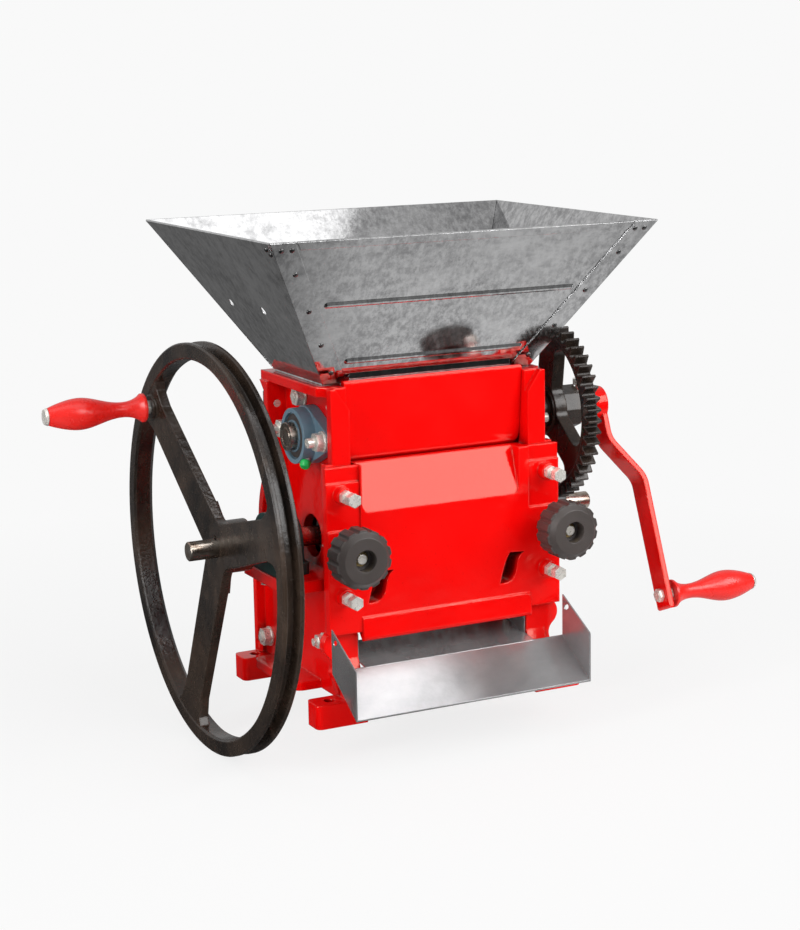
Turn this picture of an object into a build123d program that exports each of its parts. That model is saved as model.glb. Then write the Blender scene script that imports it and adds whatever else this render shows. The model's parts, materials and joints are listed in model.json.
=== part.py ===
from build123d import *
from math import acos, atan2, cos, hypot, pi, radians, sin, sqrt, tan
import os

os.makedirs("parts", exist_ok=True)

# Coffee pulper, millimetres, +Z up, front towards -Y, flywheel side -X, gear side +X.
# The origin is the centre of the four foot bolts on the plane of the feet.
# Sketches on side_at() and front_at() planes count y from the drum axis.

# Fits
running = 0.05
loose = 0.5
panel_gap = 0.2
sheet_gap = 0.05

# Foot bolt pattern and feet
foot_x = 135.0
foot_y = 95.5
foot_out = 154.0
foot_long = 28.0
foot_t = 25.0
foot_hole_r = 5.5
foot_head_r = 11.0
foot_head = 14.0

# Drum axis and shaft
drum_y = -6.5
drum_z = 174.5
shaft_r = 10.0
shaft_left = -246.5
shaft_right = 224.0
shaft_edge = 1.0
stub_r = 9.5
undercut_w = 2.0
undercut_r = 9.0

# Gear pair
module = 3.75
gear_teeth = 50
pinion_teeth = 9
pressure_angle = radians(25)
profile_shift = 0.2
backlash = 0.35
gear_x = 158.5
gear_w = 16.0
gear_rim = 9.0
gear_spoke = 30.0
gear_spoke_turn = 98.0
gear_hub_r = 24.0
gear_recess = 2.0
gear_land = 4.0
gear_collar_r = 19.0
window_round = 11.0
pinion_over = 2.0
pinion_hub = 13.0
pinion_hub_r = 17.0
pinion_pin_r = 2.5
pinion_pin_x = gear_x + gear_w + pinion_over + pinion_hub / 2
gear_centres = module * (gear_teeth + pinion_teeth) / 2
crank_y = -14.0
crank_z = drum_z + sqrt(gear_centres**2 - crank_y**2)
crank_left = -142.0

# Side castings
web_in = 98.5
web_t = 10.0
web_out = web_in + web_t
rim_out = 130.0
rim_t = 10.0
leg_set = 2.0
calf_z = 112.0
heel_set = 3.0
heel_t = 8.0
post_out = 122.5
scroll_out = 5.0
scroll_waist = 4.0
scroll_low = 24.0
scroll_end = 42.0
scroll_hollow = 14.0
scroll_bulge = 15.0
base_t = 9.0
base_out = 150.0
base_front = -38.0
base_back = 72.0
base_round = 12.0
rebate = 3.5
post_clear = 2.0
post_bevel_z = 318.0
post_bevel_x = 117.0
post_bevel = 7.0
arc_end = radians(-22)
foot_round = 6.0
front_y = -83.0
top_z = 340.0
back_top_y = 78.0
top_set = 13.0
top_out = 128.0
back_y = 68.0
back_r = 92.0
rail_z = 22.0
knee_z = 64.0
front_foot_y = -foot_y - drum_y
back_foot_y = foot_y - drum_y

# Bearings for a 20 mm shaft
ring_r = 14.5
ring_long = 31.0
ring_offset = 18.3
drum_hole = 8.0
crank_hole = 3.0
pillow_h = 30.2
pillow_long = 76.0
pillow_wide = 38.0
pillow_t = 12.0
pillow_r = 30.0
pillow_round = 6.0
pillow_skin = 2.0
pillow_foot = 2.0
pillow_body = 30.0
pillow_bolts = 52.0
pillow_x = 133.0
pillow_left_x = 147.0
ledge_t = 12.0
ledge_edge = 2.0
ledge_front = -64.0
ledge_back = 66.0
ledge_turn = 44.0
ledge_z = drum_z - pillow_h
wall_out = 120.0
pocket_front = -34.0
pocket_back = 76.0
pocket_low = 38.0
pocket_top = ledge_z - 2 * ledge_t
oval_bolts = 90.0
oval_t = 12.0
oval_h = 25.5
oval_end = 33.3
oval_r = 30.0
oval_ear_r = 11.5
oval_body_r = 28.5
seal_r = 24.0
seal_deep = 4.0
bearing_bolt_r = 5.0
bearing_hole_r = 5.75

# Drum
jacket_t = 1.5
drum_r = 76.5
core_r = drum_r - jacket_t
drum_half = web_in - 4.0
nip = 3.5

# Flywheel
wheel_r = 210.0
wheel_x = -233.5
wheel_w = 22.0
rim_deep = 17.0
wheel_in_r = wheel_r - rim_deep
groove_w = 13.0
groove_deep = 10.0
groove_floor = 6.0
spoke_w = 46.0
spoke_tip_w = 40.0
spoke_t = 10.0
spoke_turn = radians(15)
rim_bevel = 2.0
rim_edge = 1.0
spoke_sink = 1.0
spoke_set = 1.4
spoke_proud = 0.7
hub_set = 2.0
spoke_flare = 14.0
spoke_flare_long = 27.0
spoke_round = 26.0
hub_plate_r = 42.0
hub_sink = 8.0
dish = 17.0
hub_r = 27.0
hub_long = 33.0
pin_inset = 11.0
wheel_pin_r = wheel_in_r - pin_inset
wheel_pin_turn = radians(135.4)
pad_r = 13.0
pad_t = 14.0
pad_proud = 1.0

# Breast plate and its clamps
breast_half = 133.5
breast_low = 92.0
breast_high = 263.0
breast_t = 10.0
step_one_z = 247.0
step_two_z = 198.5
step = 2.0
centre_half = web_in - 1.5
recess_left = 95.0
recess_right = 85.0
recess_round = 9.0
recess_z = 214.0
recess_y = -77.0
back_wall = 10.0
foot_rise = 13.0
lip_half = 97.5
lip_z = 82.0
lip_out = 4.0
lip_proud = 2.5
lip_nose = 5.0
ledge_line_z = 108.0
hollow_span = radians(38)
crescent_x = (-75.0, 77.0)
crescent_z = 137.0
crescent_outer = ((-15.0, -16.0), (5.0, -1.0), (9.0, 11.0), (14.0, 15.0))
crescent_inner = ((-3.0, 16.0), (-8.5, 6.0), (-13.0, -8.0), (-15.0, -16.0))
crescent_deep = 22.0
screw_boss = 8.0
screw_boss_r = 9.0
screw_x = 117.0
screw_high_z = 235.0
screw_low_z = 131.0
screw_r = 4.0
screw_head_y = -115.0
screw_head_t = 8.0
hex_eight = 7.5
hex_ten = 9.8
nut_eight = 6.5
nut_ten = 8.0
washer_over = 1.0
bolt_tail = 8.0
thread_over = 4.0
knob_x = 118.5
knob_z = 180.0
stud_r = 5.0
knob_r = 30.0
knob_y = -149.0
knob_long = 36.0
knob_neck = 9.0
knob_neck_r = 14.0
knob_lobes = 14
lobe_r = 3.2
lobe_out = 1.2
knob_bevel = 5.0
knob_bush_r = 8.0
knob_well_r = 11.0
knob_well = 13.0
sleeve_r = 9.0
washer_r = 12.0
washer_t = 2.0

# Throat panels and feed roller
panel_t = 7.0
panel_round = 16.0
panel_top_y = -71.0
panel_foot_y = -65.0
panel_roll = 8.0
panel_edge = 2.0
panel_deep = 20.0
panel_low = breast_high - 3.5
panel_high = 345.0
panel_rib = 10.0
panel_rib_deep = 14.0
panel_bolt_y = panel_top_y + panel_t + 1.5
panel_bolt_z = 318.0
panel_rib_high = 26.0
back_sheet = 4.0
cover_t = 2.0
cover_in_set = 1.0
cover_top = radians(38)
cover_foot = radians(-20)
back_low = 240.0
back_high = 318.0
back_bolt_x = 119.0
back_bolt_in = 12.0
roller_r = 17.0
fin_r = gear_centres - drum_r - 2.0
fin_t = 6.0
roller_half = web_in - 10.0

# Tie rods
tie_r = 7.0
tie_end_r = 5.0
tie_high = (15.0, 319.0)
tie_low = (93.0, 45.0)
tie_tail = 12.0

# Hopper
sheet = 1.2
hop_low_x = 117.0
hop_low_front = -55.0
hop_low_back = 61.0
hop_top_x = 212.0
hop_top_front = -153.0
hop_top_back = 174.0
hop_low_z = top_z + sheet
hop_top_z = 495.0
lap = 25.0
hem = 9.0
hem_in = 7.0
lap_gap = 2.0
bead_end = 6.0
wall_hole_r = 4.5
wall_hole_y = (-18.0, 66.0)
wall_hole_part = 0.48
wrap = 2.2
bead_w = 7.0
bead_h = 1.8
bead_slope = 52
hop_bolt_x = (web_in + web_out) / 2
hop_bolt_y = 44.0
hop_bolt_r = 3.0
hop_bolt_deep = 20.0
hex_six = 5.8
nut_six = 4.0
lap_start = 2.5
neck_z = 352.0

# Chute
chute_sheet = 1.5
chute_half = 135.0
chute_front = -153.0
chute_front_z = 20.0
chute_back = -98.5
chute_slope = 0.647
tongue_slope = 0.2
tongue_back = -42.0
chute_wall_back = 101.0
chute_wall_front = 72.0
tongue_half = web_in - panel_gap
chute_bolt = (-48.0, 75.0)
chute_bolt_r = 4.0
chute_head_r = 7.5
chute_head = 1.8
chute_tab = 12.0
chute_slot = (10.0, 5.0)
chute_slot_turn = -28.0

# Crank arm and grips
boss_x = 198.0
boss_r = 19.0
arm_x = 226.0
arm_t = 6.0
arm_w = 25.0
arm_jog = 34.0
jog_start = 42.0
jog_end = 88.0
bend_r = 26.0
crank_r = 218.0
crank_lean = radians(22)
arm_tail = 13.0
pin_r = 5.0
grip_long = 105.0
grip_r = 16.6
grip_neck_r = 8.1
grip_collar_r = 15.2
grip_end_r = 8.8
grip_nut = 6.0
collar_t = 3.0
neck_flare = 1.2
belly_drop = 2.6
grip_play = 0.3
cap_t = 3.0
cap_r = 9.3
key_w = 6.0
key_deep = 3.5
key_play = 0.4
set_screw_x = boss_x + 8.0
gear_gap = 0.5
gear_back = web_out + oval_end + 1.0
crank_pin_y = crank_y - crank_r * sin(crank_lean)
crank_pin_z = crank_z - crank_r * cos(crank_lean)


def side_at(x):
    return Plane(origin=(x, drum_y, 0), x_dir=(0, 1, 0), z_dir=(1, 0, 0))


def front_at(y):
    return Plane(origin=(0, drum_y + y, 0), x_dir=(1, 0, 0), z_dir=(0, -1, 0))


def turned_at(y, z):
    return Plane(origin=(0, drum_y + y, z), x_dir=(1, 0, 0), z_dir=(0, -1, 0))


def axis_at(y, z):
    return Axis((0, drum_y + y, z), (1, 0, 0))


def around_drum(radius, angle):
    return (radius * cos(angle), drum_z + radius * sin(angle))


def tooth_flank(teeth, shift, radius):
    pitch_r = module * teeth / 2
    base_r = pitch_r * cos(pressure_angle)
    thick = module * (pi / 2 + 2 * shift * tan(pressure_angle)) - backlash / 2
    local = acos(min(1.0, base_r / max(radius, base_r)))
    roll = tan(pressure_angle) - pressure_angle - (tan(local) - local)
    return thick / (2 * pitch_r) + roll


def gear_points(teeth, shift, centre_angle, steps):
    pitch_r = module * teeth / 2
    base_r = pitch_r * cos(pressure_angle)
    tip_r = pitch_r + module * (1 + shift)
    root_r = pitch_r - module * (1.25 - shift)
    start_r = max(root_r, base_r)
    radii = [start_r + (tip_r - start_r) * part / steps for part in range(steps + 1)]
    points = []
    for tooth in range(teeth):
        middle = centre_angle + 2 * pi * tooth / teeth
        if root_r < start_r:
            half = tooth_flank(teeth, shift, start_r)
            points.append((root_r * cos(middle - half), root_r * sin(middle - half)))
        for radius in radii:
            half = tooth_flank(teeth, shift, radius)
            points.append((radius * cos(middle - half), radius * sin(middle - half)))
        for radius in reversed(radii):
            half = tooth_flank(teeth, shift, radius)
            points.append((radius * cos(middle + half), radius * sin(middle + half)))
        if root_r < start_r:
            half = tooth_flank(teeth, shift, start_r)
            points.append((root_r * cos(middle + half), root_r * sin(middle + half)))
    return points


# Right side casting: web with two legs, rim flanges, bearing ledge and feet
rim_arc = (
    (back_y, drum_z + sqrt(back_r**2 - back_y**2)),
    (back_r, drum_z),
    around_drum(back_r, arc_end),
)
rim_arc_in = (
    (back_y - rim_t, drum_z + sqrt((back_r - rim_t) ** 2 - (back_y - rim_t) ** 2)),
    (back_r - rim_t, drum_z),
    around_drum(back_r - rim_t, arc_end),
)
front_foot_a = front_foot_y - foot_long / 2
front_foot_b = front_foot_y + foot_long / 2
back_foot_a = back_foot_y - foot_long / 2
back_foot_b = back_foot_y + foot_long / 2
heel_y = back_foot_b - heel_set
with BuildPart() as right_side:
    with BuildSketch(side_at(web_in)):
        with BuildLine():
            ThreePointArc(*rim_arc)
            Polyline(
                rim_arc[2],
                (heel_y, calf_z),
                (heel_y, 0),
                (back_foot_a, 0),
                (back_foot_a, rail_z),
                (front_foot_b, rail_z),
                (front_foot_b, 0),
                (front_foot_a, 0),
                (front_foot_a, foot_t),
                (front_y, knee_z),
                (front_y, top_z),
                (back_top_y, top_z),
                (back_top_y, top_z - rim_t),
                (back_y, top_z - 2 * rim_t),
                rim_arc[0],
            )
        make_face()
    extrude(amount=web_t)
    # lower wall, standing further out than the web and hollow towards the drum
    with BuildSketch(side_at(web_in)):
        with BuildLine():
            Polyline(
                (front_y, rail_z),
                (front_y, ledge_z - ledge_t),
                rim_arc[2],
                (heel_y, calf_z),
                (heel_y, rail_z),
                close=True,
            )
        make_face()
    extrude(amount=wall_out - web_in)
    with BuildSketch(side_at(web_in)):
        with BuildLine():
            Polyline(
                (pocket_front, pocket_low),
                (pocket_front, pocket_top),
                (pocket_back, pocket_top),
                (pocket_back, pocket_low),
                close=True,
            )
        make_face()
    extrude(amount=wall_out - web_out, mode=Mode.SUBTRACT)
    # front flange: a narrow post above the breast plate, a scroll below it
    with BuildSketch(front_at(front_y)):
        with BuildLine():
            Polyline(
                (rim_out, breast_low),
                (rim_out, breast_high + post_clear),
                (post_out, breast_high + post_clear),
                (post_out, top_z),
                (web_in, top_z),
                (web_in, foot_t),
                (wall_out, foot_t),
                (rim_out - leg_set, breast_low - scroll_end),
            )
            RadiusArc(
                (rim_out - leg_set, breast_low - scroll_end),
                (rim_out - scroll_waist + scroll_out, breast_low - scroll_low),
                scroll_hollow,
            )
            RadiusArc(
                (rim_out - scroll_waist + scroll_out, breast_low - scroll_low),
                (rim_out, breast_low),
                -scroll_bulge,
            )
        make_face()
    extrude(amount=-rim_t)
    with BuildSketch(side_at(web_in)):
        with BuildLine():
            Polyline(
                (front_y, knee_z),
                (front_foot_a, foot_t),
                (front_y + rim_t, foot_t),
                (front_y + rim_t, knee_z),
                close=True,
            )
        make_face()
    extrude(amount=wall_out - web_in)
    # top flange, set back behind the posts
    with BuildSketch(Plane.XY.offset(top_z)):
        with BuildLine():
            Polyline(
                (web_in, drum_y + front_y + top_set),
                (top_out - rim_t, drum_y + front_y + top_set),
                (top_out, drum_y + front_y + top_set + rim_t),
                (top_out, drum_y + back_top_y),
                (web_in, drum_y + back_top_y),
                close=True,
            )
        make_face()
    extrude(amount=-rim_t)
    # back flange, round behind the drum and straight down to the foot
    with BuildSketch(side_at(web_in)):
        with BuildLine():
            ThreePointArc(*rim_arc)
            ThreePointArc(*rim_arc_in)
            Polyline(
                rim_arc[2],
                (heel_y, calf_z),
                (heel_y, foot_t),
                (heel_y - heel_t, foot_t),
                (heel_y - heel_t, calf_z - heel_t),
                rim_arc_in[2],
            )
            Polyline(
                rim_arc[0],
                (back_y, top_z - 2 * rim_t),
                (back_top_y, top_z - rim_t),
                (back_y - rim_t, top_z - rim_t),
                rim_arc_in[0],
            )
        make_face()
    extrude(amount=rim_out - web_in)
    # bottom flange between the feet
    with BuildSketch(Plane.XY.offset(rail_z)):
        with Locations(((web_in + base_out) / 2, drum_y + (base_front + base_back) / 2)):
            RectangleRounded(base_out - web_in, base_back - base_front, base_round)
    extrude(amount=base_t)
    # ledge for the pillow block
    with BuildSketch(Plane.XY.offset(ledge_z)):
        with BuildLine():
            Polyline(
                (web_in, drum_y + ledge_front),
                (pillow_x + pillow_wide / 2 + ledge_edge, drum_y + ledge_front),
                (pillow_x + pillow_wide / 2 + ledge_edge, drum_y + ledge_turn),
                (rim_out, drum_y + ledge_back),
                (web_in, drum_y + ledge_back),
                close=True,
            )
        make_face()
    extrude(amount=-ledge_t)
    # seat of the throat panel, with a bevel at the top of the post
    with BuildSketch(front_at(front_y)):
        with BuildLine():
            Polyline(
                (web_in, panel_low - panel_gap),
                (web_in + rebate, panel_low - panel_gap),
                (web_in + rebate, top_z),
                (web_in, top_z),
                close=True,
            )
        make_face()
    extrude(amount=front_y - panel_foot_y - panel_roll - panel_gap, mode=Mode.SUBTRACT)
    with BuildSketch(front_at(front_y)):
        with BuildLine():
            Polyline(
                (web_in + rebate, post_bevel_z),
                (post_bevel_x, top_z),
                (web_in + rebate, top_z),
                close=True,
            )
        make_face()
    extrude(amount=-post_bevel, mode=Mode.SUBTRACT)
    # feet
    with BuildSketch(Plane.XY):
        for foot_middle in (-foot_y, foot_y):
            with Locations(((web_in + foot_out) / 2, foot_middle)):
                RectangleRounded(foot_out - web_in, foot_long, foot_round)
    extrude(amount=foot_t)
    # bores
    with BuildSketch(Plane.XY):
        with Locations((foot_x, -foot_y), (foot_x, foot_y)):
            Circle(foot_hole_r)
    extrude(amount=foot_t, mode=Mode.SUBTRACT)
    with BuildSketch(Plane.XY.offset(foot_t)):
        with Locations((foot_x, -foot_y), (foot_x, foot_y)):
            Circle(foot_head_r)
    extrude(amount=foot_head, mode=Mode.SUBTRACT)
    with BuildSketch(side_at(web_in)):
        with Locations((0, drum_z)):
            Circle(ring_r + drum_hole)
        with Locations((crank_y, crank_z)):
            Circle(ring_r + crank_hole)
        with Locations(
            (crank_y - oval_bolts / 2, crank_z),
            (crank_y + oval_bolts / 2, crank_z),
        ):
            Circle(bearing_bolt_r)
        with Locations(tie_high, tie_low):
            Circle(tie_end_r)
        with Locations(chute_bolt):
            Circle(chute_bolt_r)
        with Locations((panel_bolt_y, panel_bolt_z)):
            Circle(screw_r)
    extrude(amount=rim_out - web_in, mode=Mode.SUBTRACT)
    with BuildSketch(front_at(front_y)):
        with Locations((knob_x, knob_z)):
            Circle(stud_r)
    extrude(amount=-rim_t, mode=Mode.SUBTRACT)
    with BuildSketch(front_at(back_y)):
        with Locations((back_bolt_x, back_low + back_bolt_in), (back_bolt_x, back_high - back_bolt_in)):
            Circle(screw_r)
    extrude(amount=2 * rim_t, both=True, mode=Mode.SUBTRACT)
    with BuildSketch(Plane.XY.offset(top_z)):
        with Locations((hop_bolt_x, drum_y - hop_bolt_y), (hop_bolt_x, drum_y + hop_bolt_y)):
            Circle(hop_bolt_r)
    extrude(amount=-hop_bolt_deep, mode=Mode.SUBTRACT)
    with BuildSketch(Plane.XY.offset(ledge_z)):
        with Locations(*[(pillow_x, drum_y + along * pillow_bolts / 2) for along in (-1, 1)]):
            Circle(bearing_bolt_r)
    extrude(amount=-ledge_t, mode=Mode.SUBTRACT)
right_side.part.label = "right_side"

# Left side casting, the mirror of the right one with a wider ledge
with BuildPart() as left_side:
    mirror(right_side.part, about=Plane.YZ)
    with BuildSketch(Plane.XY.offset(ledge_z)):
        with BuildLine():
            Polyline(
                (-web_in, drum_y + ledge_front),
                (-pillow_left_x - pillow_wide / 2 - ledge_edge, drum_y + ledge_front),
                (-pillow_left_x - pillow_wide / 2 - ledge_edge, drum_y + ledge_turn),
                (-rim_out, drum_y + ledge_back),
                (-web_in, drum_y + ledge_back),
                close=True,
            )
        make_face()
    extrude(amount=-ledge_t)
    with BuildSketch(Plane.XY.offset(ledge_z)):
        with Locations(*[(-pillow_left_x, drum_y + along * pillow_bolts / 2) for along in (-1, 1)]):
            Circle(bearing_bolt_r)
    extrude(amount=-ledge_t, mode=Mode.SUBTRACT)
left_side.part.label = "left_side"

# Throat front panel: leans back between the posts, rolled in along its foot
panel_half = web_in + rebate - panel_gap
with BuildPart() as throat_front:
    with BuildSketch(side_at(-panel_half)):
        with BuildLine():
            Polyline(
                (panel_foot_y + panel_roll, panel_low),
                (panel_foot_y + panel_roll, panel_low + panel_roll),
                (panel_top_y + panel_t, panel_high),
                (panel_top_y + panel_edge, panel_high),
                (panel_top_y, panel_high - panel_edge),
                (panel_foot_y, panel_low + panel_roll),
            )
            RadiusArc(
                (panel_foot_y, panel_low + panel_roll),
                (panel_foot_y + panel_roll, panel_low),
                -panel_roll,
            )
        make_face()
    extrude(amount=2 * panel_half)
    with BuildSketch(front_at(panel_top_y)):
        with Locations((0, (panel_low + panel_high + panel_round) / 2)):
            RectangleRounded(2 * panel_half, panel_high + panel_round - panel_low, panel_round)
    extrude(amount=-panel_deep, mode=Mode.INTERSECT)
    # bosses for the web bolts
    with BuildSketch(front_at(panel_top_y + panel_t / 2)):
        for side in (-1, 1):
            with Locations((side * (web_in - panel_gap / 4 - panel_rib / 2), panel_bolt_z)):
                Rectangle(panel_rib, panel_rib_high)
    extrude(amount=-panel_rib_deep)
    for side in (-1, 1):
        with BuildSketch(side_at(side * panel_half)):
            with Locations((panel_bolt_y, panel_bolt_z)):
                Circle(screw_r)
        extrude(amount=-side * (panel_half - web_in + panel_rib), mode=Mode.SUBTRACT)
throat_front.part.label = "throat_front"

# Throat back panel on the back flanges
with BuildPart() as throat_back:
    with BuildSketch(front_at(back_y)):
        with Locations((0, (back_low + back_high) / 2)):
            Rectangle(2 * (rim_out - cover_in_set), back_high - back_low)
        with Locations(
            (-back_bolt_x, back_low + back_bolt_in),
            (-back_bolt_x, back_high - back_bolt_in),
            (back_bolt_x, back_low + back_bolt_in),
            (back_bolt_x, back_high - back_bolt_in),
        ):
            Circle(screw_r, mode=Mode.SUBTRACT)
    extrude(amount=-back_sheet)
throat_back.part.label = "throat_back"

# Rear drum cover, rolled over the round part of the back flanges
cover_in = back_r + sheet_gap
cover_out = cover_in + cover_t
cover_mid = (cover_top + cover_foot) / 2
with BuildPart() as rear_cover:
    with BuildSketch(side_at(-rim_out + cover_in_set)):
        with BuildLine():
            ThreePointArc(
                around_drum(cover_in, cover_top),
                around_drum(cover_in, cover_mid),
                around_drum(cover_in, cover_foot),
            )
            ThreePointArc(
                around_drum(cover_out, cover_top),
                around_drum(cover_out, cover_mid),
                around_drum(cover_out, cover_foot),
            )
            Line(around_drum(cover_in, cover_top), around_drum(cover_out, cover_top))
            Line(around_drum(cover_in, cover_foot), around_drum(cover_out, cover_foot))
        make_face()
    extrude(amount=2 * (rim_out - cover_in_set))
rear_cover.part.label = "rear_cover"

# Bolts of the throat panels, heads outside the webs and behind the back panel
with BuildPart() as panel_bolts:
    for side in (-1, 1):
        with BuildSketch(side_at(side * web_out)):
            with Locations((panel_bolt_y, panel_bolt_z)):
                RegularPolygon(hex_eight, 6)
        extrude(amount=side * nut_eight)
        with BuildSketch(side_at(side * web_out)):
            with Locations((panel_bolt_y, panel_bolt_z)):
                Circle(screw_r)
        extrude(amount=-side * (web_t + panel_rib))
    bolt_spots = [
        (side * back_bolt_x, height)
        for side in (-1, 1)
        for height in (back_low + back_bolt_in, back_high - back_bolt_in)
    ]
    with BuildSketch(front_at(back_y + back_sheet)):
        with Locations(*bolt_spots):
            RegularPolygon(hex_eight, 6)
    extrude(amount=-nut_eight)
    with BuildSketch(front_at(back_y + back_sheet)):
        with Locations(*bolt_spots):
            Circle(screw_r)
    extrude(amount=back_sheet + rim_t)
panel_bolts.part.label = "panel_bolts"

# Tie rods with turned-down ends, and their nuts
with BuildPart() as tie_rods:
    with BuildSketch(side_at(-web_in)):
        with Locations(tie_high, tie_low):
            Circle(tie_r)
    extrude(amount=2 * web_in)
    with BuildSketch(side_at(-web_out - tie_tail)):
        with Locations(tie_high):
            Circle(tie_end_r)
    extrude(amount=2 * (web_out + tie_tail))
    with BuildSketch(side_at(-wall_out - tie_tail)):
        with Locations(tie_low):
            Circle(tie_end_r)
    extrude(amount=2 * (wall_out + tie_tail))
tie_rods.part.label = "tie_rods"

with BuildPart() as tie_nuts:
    for side in (-1, 1):
        for spot, seat in ((tie_high, web_out), (tie_low, wall_out)):
            with BuildSketch(side_at(side * seat)):
                with Locations(spot):
                    Circle(hex_ten + washer_over)
                    Circle(tie_end_r, mode=Mode.SUBTRACT)
            extrude(amount=side * washer_t)
            with BuildSketch(side_at(side * (seat + washer_t))):
                with Locations(spot):
                    RegularPolygon(hex_ten, 6)
                    Circle(tie_end_r, mode=Mode.SUBTRACT)
            extrude(amount=side * nut_ten)
tie_nuts.part.label = "tie_nuts"

# Hopper, four sheets: the side sheets lap round the front and the back and are riveted there
hop_rise = hop_top_z - hop_low_z
front_run = hop_low_front - hop_top_front
back_run = hop_top_back - hop_low_back
side_run = hop_top_x - hop_low_x
front_len = hypot(front_run, hop_rise)
back_len = hypot(back_run, hop_rise)
side_len = hypot(side_run, hop_rise)
hop_front_plane = Plane(
    origin=(0, drum_y + hop_low_front, hop_low_z),
    x_dir=(1, 0, 0),
    z_dir=(0, -hop_rise, -front_run),
)
hop_back_plane = Plane(
    origin=(0, drum_y + hop_low_back, hop_low_z),
    x_dir=(-1, 0, 0),
    z_dir=(0, hop_rise, -back_run),
)
hop_right_plane = Plane(
    origin=(hop_low_x, drum_y, hop_low_z),
    x_dir=(0, 1, 0),
    z_dir=(hop_rise, 0, -side_run),
)
bead_at = (0.16, 0.565)
neck_y = hop_low_front - (neck_z - hop_low_z) * front_run / hop_rise - sheet


def half_width(part):
    return hop_low_x + side_run * part


with BuildPart() as hopper_front:
    with BuildSketch(hop_front_plane):
        with BuildLine():
            Polyline(
                (-hop_low_x + sheet / 2, 0),
                (hop_low_x - sheet / 2, 0),
                (hop_top_x - sheet / 2, front_len),
                (-hop_top_x + sheet / 2, front_len),
                close=True,
            )
        make_face()
    extrude(amount=sheet)
    with BuildSketch(hop_front_plane.offset(sheet)):
        with BuildLine():
            Polyline(
                (-hop_top_x + lap + hem_in, front_len - hem),
                (hop_top_x - lap - hem_in, front_len - hem),
                (hop_top_x - lap - lap_gap, front_len),
                (-hop_top_x + lap + lap_gap, front_len),
                close=True,
            )
        make_face()
    extrude(amount=sheet)
    with BuildSketch(hop_front_plane.offset(sheet)):
        for part in bead_at:
            with Locations((0, front_len * part)):
                SlotOverall(2 * (half_width(part) - lap - bead_end), bead_w)
    extrude(amount=bead_h, taper=bead_slope)
    # upright strip in front of the foot
    with BuildSketch(front_at(neck_y)):
        with Locations((0, (hop_low_z + neck_z) / 2)):
            Rectangle(2 * (hop_low_x - lap), neck_z - hop_low_z)
    extrude(amount=-sheet)
hopper_front.part.label = "hopper_front"

with BuildPart() as hopper_back:
    with BuildSketch(hop_back_plane):
        with BuildLine():
            Polyline(
                (-hop_low_x + sheet / 2, 0),
                (hop_low_x - sheet / 2, 0),
                (hop_top_x - sheet / 2, back_len),
                (-hop_top_x + sheet / 2, back_len),
                close=True,
            )
        make_face()
    extrude(amount=sheet)
    with BuildSketch(hop_back_plane.offset(sheet)):
        with BuildLine():
            Polyline(
                (-hop_top_x + lap + hem_in, back_len - hem),
                (hop_top_x - lap - hem_in, back_len - hem),
                (hop_top_x - lap - lap_gap, back_len),
                (-hop_top_x + lap + lap_gap, back_len),
                close=True,
            )
        make_face()
    extrude(amount=sheet)
hopper_back.part.label = "hopper_back"

with BuildPart() as hopper_right:
    with BuildSketch(hop_right_plane):
        with BuildLine():
            Polyline(
                (hop_low_front, 0),
                (hop_low_back, 0),
                (hop_low_back + wrap, lap_start),
                (hop_top_back + wrap, side_len),
                (hop_top_front - wrap, side_len),
                (hop_low_front - wrap, lap_start),
                close=True,
            )
        make_face()
        with Locations(*[(along, side_len * wall_hole_part) for along in wall_hole_y]):
            Circle(wall_hole_r, mode=Mode.SUBTRACT)
    extrude(amount=sheet)
    with BuildSketch(hop_right_plane.offset(sheet)):
        with BuildLine():
            Polyline(
                (hop_top_front + hem_in, side_len - hem),
                (hop_top_back - hem_in, side_len - hem),
                (hop_top_back, side_len),
                (hop_top_front, side_len),
                close=True,
            )
        make_face()
    extrude(amount=sheet)
    with BuildSketch(hop_front_plane.offset(sheet + sheet_gap)):
        with BuildLine():
            Polyline(
                (hop_low_x + 1 + lap_start * side_run / front_len, lap_start),
                (hop_top_x + 1, front_len),
                (hop_top_x - lap, front_len),
                (hop_low_x - lap + lap_start * side_run / front_len, lap_start),
                close=True,
            )
        make_face()
    extrude(amount=sheet)
    with BuildSketch(hop_back_plane.offset(sheet + sheet_gap)):
        with BuildLine():
            Polyline(
                (-hop_low_x - 1 - lap_start * side_run / back_len, lap_start),
                (-hop_top_x - 1, back_len),
                (-hop_top_x + lap, back_len),
                (-hop_low_x + lap - lap_start * side_run / back_len, lap_start),
                close=True,
            )
        make_face()
    extrude(amount=sheet)
    # foot strip turned in over the top flange
    with BuildSketch(Plane.XY.offset(top_z)):
        with Locations(((web_in + hop_low_x + 2) / 2, drum_y + (hop_low_front + hop_low_back) / 2)):
            Rectangle(hop_low_x + 2 - web_in, hop_low_back - hop_low_front)
        with Locations((hop_bolt_x, drum_y - hop_bolt_y), (hop_bolt_x, drum_y + hop_bolt_y)):
            Circle(hop_bolt_r, mode=Mode.SUBTRACT)
    extrude(amount=sheet)
hopper_right.part.label = "hopper_right"

with BuildPart() as hopper_left:
    mirror(hopper_right.part, about=Plane.YZ)
hopper_left.part.label = "hopper_left"

with BuildPart() as hopper_bolts:
    hop_spots = [
        (side * hop_bolt_x, drum_y + along)
        for side in (-1, 1)
        for along in (-hop_bolt_y, hop_bolt_y)
    ]
    with BuildSketch(Plane.XY.offset(top_z + sheet)):
        with Locations(*hop_spots):
            RegularPolygon(hex_six, 6)
    extrude(amount=nut_six)
    with BuildSketch(Plane.XY.offset(top_z + sheet)):
        with Locations(*hop_spots):
            Circle(hop_bolt_r)
    extrude(amount=-sheet - hop_bolt_deep)
hopper_bolts.part.label = "hopper_bolts"

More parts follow.
